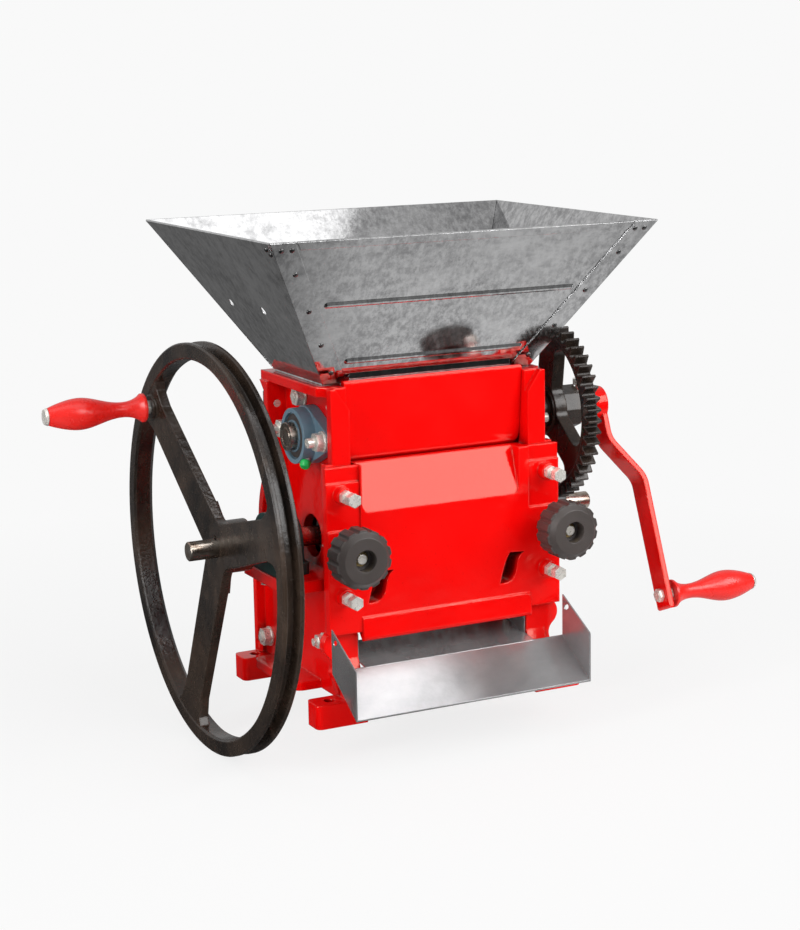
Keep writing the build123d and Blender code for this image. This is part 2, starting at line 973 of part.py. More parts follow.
# Chute: sloped floor, two outer walls and a tongue that runs in under the drum
mouth_z = chute_front_z + (chute_back - chute_front) * chute_slope
tongue_z = mouth_z + (tongue_back - chute_back) * tongue_slope
with BuildPart() as chute:
    with BuildSketch(side_at(-chute_half)):
        with BuildLine():
            Polyline(
                (chute_front, chute_front_z),
                (chute_back, mouth_z),
                (chute_back, mouth_z + chute_sheet * 1.2),
                (chute_front, chute_front_z + chute_sheet * 1.2),
                close=True,
            )
        make_face()
    extrude(amount=2 * chute_half)
    with BuildSketch(side_at(-tongue_half)):
        with BuildLine():
            Polyline(
                (chute_back - 1, mouth_z - chute_slope),
                (chute_back, mouth_z),
                (tongue_back, tongue_z),
                (tongue_back, tongue_z + chute_sheet),
                (chute_back - 1, mouth_z + chute_sheet),
                close=True,
            )
        make_face()
    extrude(amount=2 * tongue_half)
    for start, width in ((-chute_half, chute_sheet), (chute_half, -chute_sheet)):
        with BuildSketch(side_at(start)):
            with BuildLine():
                Polyline(
                    (chute_front, chute_front_z),
                    (chute_back, mouth_z),
                    (chute_back, chute_wall_back),
                    (chute_front, chute_wall_front),
                    close=True,
                )
            make_face()
            with Locations((chute_back - 8, chute_wall_back - chute_tab)):
                SlotOverall(*chute_slot, rotation=chute_slot_turn, mode=Mode.SUBTRACT)
        extrude(amount=width)
    for start, width in ((-tongue_half, chute_sheet), (tongue_half, -chute_sheet)):
        with BuildSketch(side_at(start)):
            with BuildLine():
                Polyline(
                    (front_y + 2, mouth_z + (front_y + 2 - chute_back) * tongue_slope),
                    (tongue_back, tongue_z),
                    (tongue_back, tongue_z + chute_tab),
                    (chute_bolt[0] + chute_tab, chute_bolt[1] + chute_tab),
                    (front_y + 2, chute_bolt[1] + chute_tab),
                    close=True,
                )
            make_face()
            with Locations(chute_bolt):
                Circle(chute_bolt_r, mode=Mode.SUBTRACT)
        extrude(amount=width)
chute.part.label = "chute"

with BuildPart() as chute_bolts:
    for side in (-1, 1):
        with BuildSketch(side_at(side * (tongue_half - chute_sheet))):
            with Locations(chute_bolt):
                Circle(chute_head_r)
        extrude(amount=-side * chute_head)
        with BuildSketch(side_at(side * (tongue_half - chute_sheet))):
            with Locations(chute_bolt):
                Circle(chute_bolt_r)
        extrude(amount=side * (wall_out + nut_eight + washer_t + thread_over - tongue_half + chute_sheet))
        with BuildSketch(side_at(side * wall_out)):
            with Locations(chute_bolt):
                Circle(hex_eight + washer_over)
        extrude(amount=side * washer_t)
        with BuildSketch(side_at(side * (wall_out + washer_t))):
            with Locations(chute_bolt):
                RegularPolygon(hex_eight, 6)
        extrude(amount=side * nut_eight)
chute_bolts.part.label = "chute_bolts"

# Upper bearings: two-bolt oval housings on the webs
oval_ends = (
    (crank_y - oval_bolts / 2, crank_z),
    (crank_y + oval_bolts / 2, crank_z),
)
with BuildPart() as upper_right_housing:
    with BuildSketch(side_at(web_out)):
        with Locations((crank_y, crank_z)):
            Circle(oval_r)
        with Locations(*oval_ends):
            Circle(oval_ear_r)
        make_hull()
    extrude(amount=oval_t)
    with BuildSketch(side_at(web_out)):
        with Locations((crank_y, crank_z)):
            Circle(oval_body_r)
    extrude(amount=oval_h)
    with BuildSketch(side_at(web_out)):
        with Locations((crank_y, crank_z)):
            Circle(ring_r + running)
        with Locations(*oval_ends):
            Circle(bearing_hole_r)
    extrude(amount=oval_h, mode=Mode.SUBTRACT)
    with BuildSketch(side_at(web_out + oval_h)):
        with Locations((crank_y, crank_z)):
            Circle(seal_r)
            Circle(ring_r + 2, mode=Mode.SUBTRACT)
    extrude(amount=-seal_deep, mode=Mode.SUBTRACT)
upper_right_housing.part.label = "upper_right_housing"

with BuildPart() as upper_left_housing:
    mirror(upper_right_housing.part, about=Plane.YZ)
upper_left_housing.part.label = "upper_left_housing"

with BuildPart() as upper_bearing_bolts:
    for side in (-1, 1):
        with BuildSketch(side_at(side * (web_in + rebate + panel_gap))):
            with Locations(*oval_ends):
                Circle(bearing_bolt_r)
        extrude(amount=side * (web_t - rebate - panel_gap + oval_t + washer_t + nut_ten + bolt_tail))
        with BuildSketch(side_at(side * (web_out + oval_t))):
            with Locations(*oval_ends):
                Circle(hex_ten + washer_over)
        extrude(amount=side * washer_t)
        with BuildSketch(side_at(side * (web_out + oval_t + washer_t))):
            with Locations(*oval_ends):
                RegularPolygon(hex_ten, 6)
        extrude(amount=side * nut_ten)
upper_bearing_bolts.part.label = "upper_bearing_bolts"

# Lower bearings: pillow blocks on the ledges, bolted from below
pillow_housings = []
for side_name, place in (("right", pillow_x), ("left", -pillow_left_x)):
    with BuildPart() as lower_housing:
        with BuildSketch(Plane.XY.offset(ledge_z)):
            with Locations((place, drum_y)):
                RectangleRounded(pillow_wide, pillow_long, pillow_round)
        extrude(amount=pillow_t)
        with BuildSketch(side_at(place - pillow_body / 2)):
            with Locations((0, drum_z)):
                Circle(pillow_r)
            with BuildLine():
                Polyline(
                    (-pillow_r - pillow_foot, ledge_z),
                    (-pillow_r, drum_z),
                    (pillow_r, drum_z),
                    (pillow_r + pillow_foot, ledge_z),
                    close=True,
                )
            make_face()
        extrude(amount=pillow_body)
        with BuildSketch(side_at(place - pillow_wide)):
            with Locations((0, drum_z)):
                Circle(ring_r + running)
        extrude(amount=2 * pillow_wide, mode=Mode.SUBTRACT)
        with BuildSketch(Plane.XY.offset(ledge_z)):
            with Locations(*[(place, drum_y + along * pillow_bolts / 2) for along in (-1, 1)]):
                Circle(bearing_bolt_r)
        extrude(amount=pillow_t - pillow_skin, mode=Mode.SUBTRACT)
    lower_housing.part.label = "lower_" + side_name + "_housing"
    pillow_housings.append(lower_housing)

with BuildPart() as lower_bearing_bolts:
    pillow_spots = [
        (place, drum_y + along * pillow_bolts / 2)
        for place in (pillow_x, -pillow_left_x)
        for along in (-1, 1)
    ]
    with BuildSketch(Plane.XY.offset(ledge_z - ledge_t)):
        with Locations(*pillow_spots):
            Circle(hex_ten + washer_over)
    extrude(amount=-washer_t)
    with BuildSketch(Plane.XY.offset(ledge_z - ledge_t - washer_t)):
        with Locations(*pillow_spots):
            RegularPolygon(hex_ten, 6)
    extrude(amount=-nut_ten)
    with BuildSketch(Plane.XY.offset(ledge_z - ledge_t)):
        with Locations(*pillow_spots):
            Circle(bearing_bolt_r)
    extrude(amount=ledge_t + pillow_t - pillow_skin)
lower_bearing_bolts.part.label = "lower_bearing_bolts"

# Breast plate: stepped side flanges, sloped recess on top, hollow towards the drum, lip below
breast_y = front_y - breast_t
boss_face = breast_y - screw_boss
hollow_r = drum_r + nip
screw_spots = [(side * screw_x, height) for side in (-1, 1) for height in (screw_high_z, screw_low_z)]
recess_plane = Plane(
    origin=(0, drum_y + breast_y, recess_z),
    x_dir=(1, 0, 0),
    z_dir=(0, recess_z - breast_high, recess_y - breast_y),
)
with BuildPart() as breast_plate:
    for high, depth in (
        (breast_high, breast_t - 2 * step),
        (step_one_z, breast_t - step),
        (step_two_z, breast_t),
    ):
        with BuildSketch(front_at(front_y)):
            with Locations((0, (breast_low + high) / 2)):
                Rectangle(2 * breast_half, high - breast_low)
        extrude(amount=depth)
    with BuildSketch(side_at(-centre_half)):
        with BuildLine():
            Polyline(
                around_drum(hollow_r, pi - hollow_span),
                (recess_y + back_wall, breast_high),
                (breast_y, breast_high),
                (breast_y, breast_low),
                (front_y, breast_low),
                (front_y + foot_rise, breast_low + foot_rise),
                around_drum(hollow_r, pi + hollow_span),
            )
            ThreePointArc(
                around_drum(hollow_r, pi + hollow_span),
                around_drum(hollow_r, pi),
                around_drum(hollow_r, pi - hollow_span),
            )
        make_face()
    extrude(amount=2 * centre_half)
    # sloped recess, open at the top
    with BuildSketch(recess_plane):
        with Locations(((recess_right - recess_left) / 2, breast_high - recess_z)):
            RectangleRounded(recess_right + recess_left, 2 * (breast_high - recess_z), recess_round)
    extrude(amount=2 * breast_t, mode=Mode.SUBTRACT)
    # lip over the chute
    with BuildSketch(side_at(-lip_half)):
        with BuildLine():
            Polyline(
                (breast_y - lip_out, lip_z + lip_nose),
                (breast_y - lip_out + lip_proud, ledge_line_z - step),
                (breast_y, ledge_line_z),
                (front_y, ledge_line_z),
                (front_y, breast_low),
                (breast_y - lip_out + lip_nose, lip_z),
            )
            RadiusArc(
                (breast_y - lip_out + lip_nose, lip_z),
                (breast_y - lip_out, lip_z + lip_nose),
                lip_nose,
            )
        make_face()
    extrude(amount=2 * lip_half)
    # crescent slots at the lower corners, both bent the same way
    for middle in crescent_x:
        outer = [(middle + x, crescent_z + z) for x, z in crescent_outer]
        inner = [(middle + x, crescent_z + z) for x, z in crescent_inner]
        with BuildSketch(front_at(breast_y)):
            with BuildLine():
                Spline(*outer)
                Line(outer[-1], inner[0])
                Spline(*inner)
            make_face()
        extrude(amount=-crescent_deep, mode=Mode.SUBTRACT)
    # bosses and holes for the jack screws, holes for the studs
    with BuildSketch(front_at(front_y)):
        with Locations(*screw_spots):
            Circle(screw_boss_r)
    extrude(amount=front_y - boss_face)
    with BuildSketch(front_at(front_y)):
        with Locations(*screw_spots):
            Circle(screw_r + running)
        with Locations((-knob_x, knob_z), (knob_x, knob_z)):
            Circle(stud_r + loose)
    extrude(amount=front_y - boss_face, mode=Mode.SUBTRACT)
breast_plate.part.label = "breast_plate"

# Jack screws that set the breast plate off the side castings, and their lock nuts
jack_screws = []
for corner, spot in (
    ("upper_right", (screw_x, screw_high_z)),
    ("upper_left", (-screw_x, screw_high_z)),
    ("lower_right", (screw_x, screw_low_z)),
    ("lower_left", (-screw_x, screw_low_z)),
):
    with BuildPart() as jack_screw:
        with BuildSketch(front_at(front_y)):
            with Locations(spot):
                Circle(screw_r)
        extrude(amount=front_y - screw_head_y)
        with BuildSketch(front_at(screw_head_y)):
            with Locations(spot):
                RegularPolygon(hex_eight, 6, rotation=30)
        extrude(amount=screw_head_t)
    jack_screw.part.label = corner + "_jack_screw"
    jack_screws.append(jack_screw)

with BuildPart() as lock_nuts:
    with BuildSketch(front_at(boss_face)):
        with Locations(*screw_spots):
            RegularPolygon(hex_eight, 6, rotation=30)
            Circle(screw_r + running, mode=Mode.SUBTRACT)
    extrude(amount=nut_eight)
lock_nuts.part.label = "lock_nuts"

# Knob studs, sleeves with washers, knobs and their bushes
knob_back = knob_y + knob_long
with BuildPart() as knob_studs:
    with BuildSketch(front_at(front_y + rim_t)):
        with Locations((-knob_x, knob_z), (knob_x, knob_z)):
            Circle(stud_r)
    extrude(amount=front_y + rim_t - knob_y - knob_well + thread_over)
    with BuildSketch(front_at(front_y + rim_t)):
        with Locations((-knob_x, knob_z), (knob_x, knob_z)):
            RegularPolygon(hex_ten, 6)
    extrude(amount=-nut_ten + 2)
knob_studs.part.label = "knob_studs"

with BuildPart() as right_sleeve:
    with BuildSketch(front_at(breast_y)):
        with Locations((knob_x, knob_z)):
            Circle(sleeve_r)
            Circle(stud_r + loose, mode=Mode.SUBTRACT)
    extrude(amount=breast_y - knob_back - washer_t)
    with BuildSketch(front_at(knob_back + washer_t)):
        with Locations((knob_x, knob_z)):
            Circle(washer_r)
            Circle(stud_r + loose, mode=Mode.SUBTRACT)
    extrude(amount=washer_t - sheet_gap)
right_sleeve.part.label = "right_sleeve"

with BuildPart() as left_sleeve:
    mirror(right_sleeve.part, about=Plane.YZ)
left_sleeve.part.label = "left_sleeve"

with BuildPart() as right_knob:
    with BuildSketch(front_at(knob_back)):
        with Locations((knob_x, knob_z)):
            Circle(knob_neck_r)
    extrude(amount=knob_neck)
    with BuildSketch(front_at(knob_back - knob_neck)):
        with Locations((knob_x, knob_z)):
            Circle(knob_r)
            with PolarLocations(knob_r + lobe_out, knob_lobes):
                Circle(lobe_r, mode=Mode.SUBTRACT)
    extrude(amount=knob_long - knob_neck - knob_bevel)
    with BuildSketch(front_at(knob_y + knob_bevel)):
        with Locations((knob_x, knob_z)):
            Circle(knob_r + lobe_out - lobe_r)
    extrude(amount=knob_bevel, taper=45)
    with BuildSketch(front_at(knob_back)):
        with Locations((knob_x, knob_z)):
            Circle(knob_bush_r)
    extrude(amount=knob_long, mode=Mode.SUBTRACT)
    with BuildSketch(front_at(knob_y)):
        with Locations((knob_x, knob_z)):
            Circle(knob_well_r)
    extrude(amount=-knob_well, mode=Mode.SUBTRACT)
right_knob.part.label = "right_knob"

with BuildPart() as left_knob:
    mirror(right_knob.part, about=Plane.YZ)
left_knob.part.label = "left_knob"

with BuildPart() as right_bush:
    with BuildSketch(front_at(knob_back)):
        with Locations((knob_x, knob_z)):
            Circle(knob_bush_r)
            Circle(stud_r + running, mode=Mode.SUBTRACT)
    extrude(amount=knob_long - knob_well - 1)
right_bush.part.label = "right_bush"

with BuildPart() as left_bush:
    mirror(right_bush.part, about=Plane.YZ)
left_bush.part.label = "left_bush"

# Drum shaft with a keyway for the flywheel and a turned-down drive stub
stub_x = gear_x + gear_w + pinion_over + pinion_hub + shaft_edge
hub_x = wheel_x + dish
with BuildPart() as drum_shaft:
    with BuildSketch(turned_at(0, drum_z)):
        with BuildLine():
            Polyline(
                (shaft_left, 0),
                (shaft_left, shaft_r - shaft_edge),
                (shaft_left + shaft_edge, shaft_r),
                (stub_x, shaft_r),
                (stub_x, undercut_r),
                (stub_x + undercut_w, undercut_r),
                (stub_x + undercut_w, stub_r),
                (shaft_right - shaft_edge, stub_r),
                (shaft_right, stub_r - shaft_edge),
                (shaft_right, 0),
                close=True,
            )
        make_face()
    revolve(axis=axis_at(0, drum_z))
    with BuildSketch(side_at(hub_x + 2)):
        with Locations((0, drum_z + shaft_r - key_deep / 2)):
            Rectangle(key_w, key_deep)
    extrude(amount=hub_long - 4, mode=Mode.SUBTRACT)
    with BuildSketch(Plane.XY.offset(drum_z + shaft_r - key_deep)):
        with Locations((pinion_pin_x, drum_y)):
            Circle(pinion_pin_r)
    extrude(amount=2 * key_deep, mode=Mode.SUBTRACT)
drum_shaft.part.label = "drum_shaft"

with BuildPart() as wheel_key:
    with BuildSketch(side_at(hub_x + 2)):
        with Locations((0, drum_z + shaft_r - key_deep + key_w / 2)):
            Rectangle(key_w, key_w)
    extrude(amount=hub_long - 4)
wheel_key.part.label = "wheel_key"

# Drum core, open at both ends with one web in the middle, and its sheet jacket
core_wall = 10.0
core_hub_r = 22.0
core_web = 14.0
with BuildPart() as drum_core:
    with BuildSketch(turned_at(0, drum_z)):
        with BuildLine():
            Polyline(
                (-drum_half, shaft_r),
                (drum_half, shaft_r),
                (drum_half, core_hub_r),
                (core_web / 2, core_hub_r),
                (core_web / 2, core_r - core_wall),
                (drum_half, core_r - core_wall),
                (drum_half, core_r),
                (-drum_half, core_r),
                (-drum_half, core_r - core_wall),
                (-core_web / 2, core_r - core_wall),
                (-core_web / 2, core_hub_r),
                (-drum_half, core_hub_r),
                close=True,
            )
        make_face()
    revolve(axis=axis_at(0, drum_z))
drum_core.part.label = "drum_core"

with BuildPart() as drum_jacket:
    with BuildSketch(side_at(-drum_half)):
        with Locations((0, drum_z)):
            Circle(drum_r)
            Circle(core_r, mode=Mode.SUBTRACT)
    extrude(amount=2 * drum_half)
drum_jacket.part.label = "drum_jacket"

# Inner rings of the lower bearings
with BuildPart() as lower_rings:
    for side, place in ((-1, pillow_left_x), (1, pillow_x)):
        with BuildSketch(side_at(side * (place - ring_long + ring_offset))):
            with Locations((0, drum_z)):
                Circle(ring_r)
                Circle(shaft_r, mode=Mode.SUBTRACT)
        extrude(amount=side * ring_long)
lower_rings.part.label = "lower_rings"

# Flywheel: V-grooved rim, three dished flat spokes, keyed hub
groove_r = wheel_r - groove_deep
groove_mid = wheel_x + wheel_w / 2
pad_x = wheel_x - pad_proud


def wheel_point(radius, angle):
    return (-radius * cos(angle), drum_z + radius * sin(angle))


def spoke_x(radius):
    rise = (radius - hub_r) / (wheel_in_r - hub_r)
    return hub_x - spoke_proud + (wheel_x + spoke_set - hub_x) * rise + spoke_t / 2


spoke_sections = [
    (hub_r - hub_sink, spoke_w),
    (wheel_in_r - spoke_flare_long, spoke_tip_w),
    (wheel_in_r - spoke_flare_long / 3, spoke_tip_w + 2 * spoke_flare / 3),
    (wheel_in_r + spoke_sink, spoke_tip_w + 2 * spoke_flare),
]
plate_half = spoke_w / 2 - 1
plate_corner_r = plate_half / sin(pi / 3)
hub_plate_points = []
for number in range(3):
    plate_angle = spoke_turn + 2 * pi * number / 3
    for turn in (-atan2(plate_half, hub_plate_r), atan2(plate_half, hub_plate_r)):
        hub_plate_points.append(wheel_point(hypot(plate_half, hub_plate_r), plate_angle + turn))
    hub_plate_points.append(wheel_point(plate_corner_r, plate_angle + pi / 3))


with BuildPart() as flywheel:
    with BuildSketch(turned_at(0, drum_z)):
        with BuildLine():
            Polyline(
                (wheel_x + rim_bevel, wheel_in_r),
                (wheel_x, wheel_in_r + rim_bevel),
                (wheel_x, wheel_r - rim_edge),
                (wheel_x + rim_edge, wheel_r),
                (groove_mid - groove_w / 2, wheel_r),
                (groove_mid - groove_floor / 2, groove_r),
                (groove_mid + groove_floor / 2, groove_r),
                (groove_mid + groove_w / 2, wheel_r),
                (wheel_x + wheel_w - rim_edge, wheel_r),
                (wheel_x + wheel_w, wheel_r - rim_edge),
                (wheel_x + wheel_w, wheel_in_r + 2 * rim_bevel),
                (wheel_x + wheel_w - 2 * rim_bevel, wheel_in_r),
                close=True,
            )
        make_face()
    revolve(axis=axis_at(0, drum_z))
    with BuildSketch(side_at(hub_x + hub_set)):
        with Locations((0, drum_z)):
            Circle(hub_r)
    extrude(amount=hub_long - hub_set)
    for number in range(3):
        spoke_angle = spoke_turn + 2 * pi * number / 3
        for radius, width in spoke_sections:
            section_y, section_z = wheel_point(radius, spoke_angle)
            section_plane = Plane(
                origin=(spoke_x(radius), drum_y + section_y, section_z),
                x_dir=(1, 0, 0),
                z_dir=(0, -cos(spoke_angle), sin(spoke_angle)),
            )
            with BuildSketch(section_plane):
                Rectangle(spoke_t, width)
        loft(ruled=True)
    with BuildSketch(side_at(hub_x)) as hub_plate:
        with BuildLine():
            Polyline(*hub_plate_points, close=True)
        make_face()
        by_distance = hub_plate.vertices().sort_by(lambda spot: hypot(spot.X, spot.Y - drum_z))
        fillet(by_distance[:3], radius=spoke_round)
    extrude(amount=spoke_t)
    # seat of the grip pin, a little proud of the rim
    with BuildSketch(side_at(pad_x)):
        with Locations(wheel_point(wheel_pin_r, wheel_pin_turn)):
            Circle(pad_r)
    extrude(amount=pad_t)
    with BuildSketch(side_at(pad_x)):
        with Locations(wheel_point(wheel_pin_r, wheel_pin_turn)):
            Circle(pin_r)
    extrude(amount=pad_t, mode=Mode.SUBTRACT)
    with BuildSketch(side_at(hub_x)):
        with Locations((0, drum_z)):
            Circle(shaft_r)
        with Locations((0, drum_z + shaft_r)):
            Rectangle(key_w, 2 * (key_w - key_deep) + key_play)
    extrude(amount=hub_long, mode=Mode.SUBTRACT)
flywheel.part.label = "flywheel"

# Pinion on the drum shaft, with a hub and a cross pin
mesh_angle = atan2(crank_z - drum_z, crank_y)
with BuildPart() as pinion:
    with BuildSketch(side_at(gear_x - pinion_over)):
        with BuildLine():
            Polyline(
                *[(y, drum_z + z) for y, z in gear_points(pinion_teeth, profile_shift, mesh_angle, 3)],
                close=True,
            )
        make_face()
    extrude(amount=gear_w + 2 * pinion_over)
    with BuildSketch(side_at(gear_x + gear_w + pinion_over)):
        with Locations((0, drum_z)):
            Circle(pinion_hub_r)
    extrude(amount=pinion_hub)
    with BuildSketch(side_at(gear_x - pinion_over)):
        with Locations((0, drum_z)):
            Circle(shaft_r)
    extrude(amount=gear_w + 2 * pinion_over + pinion_hub, mode=Mode.SUBTRACT)
    with BuildSketch(Plane.XY.offset(drum_z)):
        with Locations((pinion_pin_x, drum_y)):
            Circle(pinion_pin_r)
    extrude(amount=pinion_hub_r + 1, mode=Mode.SUBTRACT)
pinion.part.label = "pinion"

with BuildPart() as pinion_pin:
    with BuildSketch(Plane.XY.offset(drum_z + shaft_r - key_deep)):
        with Locations((pinion_pin_x, drum_y)):
            Circle(pinion_pin_r)
    extrude(amount=pinion_hub_r - shaft_r + key_deep)
pinion_pin.part.label = "pinion_pin"

# Crank shaft with a keyway for the gear
gear_key_x = gear_x + 2
gear_key_long = boss_x - gear_x - 6
arm_end = arm_x + arm_t
with BuildPart() as crank_shaft:
    with BuildSketch(turned_at(crank_y, crank_z)):
        with BuildLine():
            Polyline(
                (crank_left, 0),
                (crank_left, shaft_r - 1),
                (crank_left + 1, shaft_r),
                (arm_end + 3, shaft_r),
                (arm_end + 4, shaft_r - 1),
                (arm_end + 4, 0),
                close=True,
            )
        make_face()
    revolve(axis=axis_at(crank_y, crank_z))
    with BuildSketch(side_at(gear_key_x)):
        with Locations((crank_y, crank_z + shaft_r - key_deep / 2)):
            Rectangle(key_w, key_deep)
    extrude(amount=gear_key_long, mode=Mode.SUBTRACT)
crank_shaft.part.label = "crank_shaft"

with BuildPart() as gear_key:
    with BuildSketch(side_at(gear_key_x)):
        with Locations((crank_y, crank_z + shaft_r - key_deep + key_w / 2)):
            Rectangle(key_w, key_w)
    extrude(amount=gear_key_long)
gear_key.part.label = "gear_key"

# Gear: three spokes, eight-sided hub towards the crank arm
gear_turn = mesh_angle + pi + pi / gear_teeth
gear_root = module * gear_teeth / 2 - module * (1.25 + profile_shift)
with BuildPart() as gear:
    with BuildSketch(side_at(gear_x)):
        with BuildLine():
            Polyline(
                *[
                    (crank_y + y, crank_z + z)
                    for y, z in gear_points(gear_teeth, -profile_shift, gear_turn, 1)
                ],
                close=True,
            )
        make_face()
    extrude(amount=gear_w)
    with BuildSketch(side_at(gear_x)) as windows:
        with Locations((crank_y, crank_z)):
            Circle(gear_root - gear_rim)
            Circle(gear_hub_r + gear_land, mode=Mode.SUBTRACT)
            for spoke in range(3):
                with PolarLocations(gear_root / 2, 1, start_angle=gear_spoke_turn + 120 * spoke):
                    Rectangle(gear_root, gear_spoke, mode=Mode.SUBTRACT)
        fillet(windows.vertices(), radius=window_round)
    extrude(amount=gear_w, mode=Mode.SUBTRACT)
    # rim and web are thinner than the teeth are wide
    with BuildSketch(side_at(gear_x)):
        with Locations((crank_y, crank_z)):
            Circle(gear_root - gear_land)
            Circle(gear_hub_r + gear_land / 2, mode=Mode.SUBTRACT)
    extrude(amount=gear_recess, mode=Mode.SUBTRACT)
    with BuildSketch(side_at(gear_x + gear_w)):
        with Locations((crank_y, crank_z)):
            RegularPolygon(gear_hub_r, 8)
    extrude(amount=boss_x - gear_x - gear_w)
    with BuildSketch(side_at(gear_x)):
        with Locations((crank_y, crank_z)):
            Circle(gear_collar_r)
    extrude(amount=gear_back - gear_x)
    with BuildSketch(side_at(gear_back)):
        with Locations((crank_y, crank_z)):
            Circle(shaft_r)
    extrude(amount=boss_x - gear_back, mode=Mode.SUBTRACT)
    with BuildSketch(side_at(gear_back)):
        with Locations((crank_y, crank_z + shaft_r)):
            Rectangle(key_w, 2 * (key_w - key_deep) + key_play)
    extrude(amount=boss_x - gear_back, mode=Mode.SUBTRACT)
gear.part.label = "gear"

# Inner rings of the upper bearings
with BuildPart() as upper_rings:
    for side in (-1, 1):
        with BuildSketch(side_at(side * (web_out + oval_end))):
            with Locations((crank_y, crank_z)):
                Circle(ring_r)
                Circle(shaft_r, mode=Mode.SUBTRACT)
        extrude(amount=-side * ring_long)
upper_rings.part.label = "upper_rings"

# Feed roller with four fins on the crank shaft
with BuildPart() as feed_roller:
    with BuildSketch(side_at(-roller_half)):
        with Locations((crank_y, crank_z)):
            Circle(roller_r)
            Rectangle(2 * fin_r, fin_t)
            Rectangle(fin_t, 2 * fin_r)
            Circle(shaft_r, mode=Mode.SUBTRACT)
    extrude(amount=2 * roller_half)
feed_roller.part.label = "feed_roller"

# Crank arm: round boss, flat bar bent outwards, square end
arm_plane = Plane(
    origin=(0, drum_y + crank_y, crank_z),
    x_dir=(1, 0, 0),
    z_dir=(0, cos(crank_lean), -sin(crank_lean)),
)
arm_mid = arm_x + arm_t / 2
with BuildPart() as crank_arm:
    with BuildSketch(arm_plane):
        with BuildLine():
            FilletPolyline(
                (arm_mid, 0),
                (arm_mid, jog_start),
                (arm_mid + arm_jog, jog_end),
                (arm_mid + arm_jog, crank_r + arm_tail),
                radius=bend_r,
            )
            offset(amount=arm_t / 2, kind=Kind.INTERSECTION)
        make_face()
    extrude(amount=arm_w / 2, both=True)
    with BuildSketch(side_at(boss_x + gear_gap)):
        with Locations((crank_y, crank_z)):
            Circle(boss_r)
    extrude(amount=arm_end - boss_x - gear_gap)
    with BuildSketch(side_at(boss_x)):
        with Locations((crank_y, crank_z)):
            Circle(shaft_r)
    extrude(amount=arm_end - boss_x, mode=Mode.SUBTRACT)
    with BuildSketch(Plane.XY.offset(crank_z)):
        with Locations((set_screw_x, drum_y + crank_y)):
            Circle(screw_r)
    extrude(amount=boss_r + 1, mode=Mode.SUBTRACT)
    with BuildSketch(side_at(arm_x + arm_jog - arm_t)):
        with Locations((crank_pin_y, crank_pin_z)):
            Circle(pin_r)
    extrude(amount=3 * arm_t, mode=Mode.SUBTRACT)
crank_arm.part.label = "crank_arm"

with BuildPart() as crank_set_screw:
    with BuildSketch(Plane.XY.offset(crank_z + shaft_r)):
        with Locations((set_screw_x, drum_y + crank_y)):
            Circle(screw_r)
    extrude(amount=boss_r - shaft_r + thread_over)
    with BuildSketch(Plane.XY.offset(crank_z + boss_r + thread_over)):
        with Locations((set_screw_x, drum_y + crank_y)):
            RegularPolygon(hex_eight, 6)
    extrude(amount=nut_eight)
crank_set_screw.part.label = "crank_set_screw"

# Grip pins with a lock nut on each side of what carries them and a cap at the end
arm_out = arm_end + arm_jog
wheel_pin_y, wheel_pin_z = wheel_point(wheel_pin_r, wheel_pin_turn)
grip_span = grip_nut + grip_long + 2 * grip_play
with BuildPart() as crank_grip_pin:
    with BuildSketch(side_at(arm_out - arm_t - grip_nut)):
        with Locations((crank_pin_y, crank_pin_z)):
            Circle(pin_r)
    extrude(amount=arm_t + grip_nut + grip_span + cap_t / 2)
    with BuildSketch(side_at(arm_out - arm_t)):
        with Locations((crank_pin_y, crank_pin_z)):
            RegularPolygon(hex_eight, 6)
    extrude(amount=-grip_nut + 1)
    with BuildSketch(side_at(arm_out)):
        with Locations((crank_pin_y, crank_pin_z)):
            RegularPolygon(hex_eight, 6)
    extrude(amount=grip_nut)
    with BuildSketch(side_at(arm_out + grip_span)):
        with Locations((crank_pin_y, crank_pin_z)):
            Circle(cap_r)
    extrude(amount=cap_t, taper=25)
crank_grip_pin.part.label = "crank_grip_pin"

with BuildPart() as wheel_grip_pin:
    with BuildSketch(side_at(pad_x + pad_t + grip_nut)):
        with Locations((wheel_pin_y, wheel_pin_z)):
            Circle(pin_r)
    extrude(amount=-(pad_t + grip_nut + grip_span + cap_t / 2))
    with BuildSketch(side_at(pad_x + pad_t)):
        with Locations((wheel_pin_y, wheel_pin_z)):
            RegularPolygon(hex_eight, 6)
    extrude(amount=grip_nut - 1)
    with BuildSketch(side_at(pad_x)):
        with Locations((wheel_pin_y, wheel_pin_z)):
            RegularPolygon(hex_eight, 6)
    extrude(amount=-grip_nut)
    with BuildSketch(side_at(pad_x - grip_span)):
        with Locations((wheel_pin_y, wheel_pin_z)):
            Circle(cap_r)
    extrude(amount=-cap_t, taper=25)
wheel_grip_pin.part.label = "wheel_grip_pin"

# Turned grips
grip_bore = pin_r + running
with BuildPart() as crank_grip:
    crank_grip_x = arm_out + grip_nut + grip_play
    with BuildSketch(turned_at(crank_pin_y, crank_pin_z)):
        with BuildLine():
            Polyline(
                (crank_grip_x + grip_long, grip_end_r),
                (crank_grip_x + grip_long, grip_bore),
                (crank_grip_x, grip_bore),
                (crank_grip_x, grip_collar_r),
                (crank_grip_x + collar_t, grip_collar_r),
            )
            Spline(
                (crank_grip_x + collar_t, grip_collar_r),
                (crank_grip_x + grip_long * 0.13, grip_neck_r + neck_flare),
                (crank_grip_x + grip_long * 0.25, grip_neck_r),
                (crank_grip_x + grip_long * 0.40, grip_neck_r + belly_drop),
                (crank_grip_x + grip_long * 0.64, grip_r),
                (crank_grip_x + grip_long * 0.85, grip_r - belly_drop),
                (crank_grip_x + grip_long, grip_end_r),
            )
        make_face()
    revolve(axis=axis_at(crank_pin_y, crank_pin_z))
crank_grip.part.label = "crank_grip"

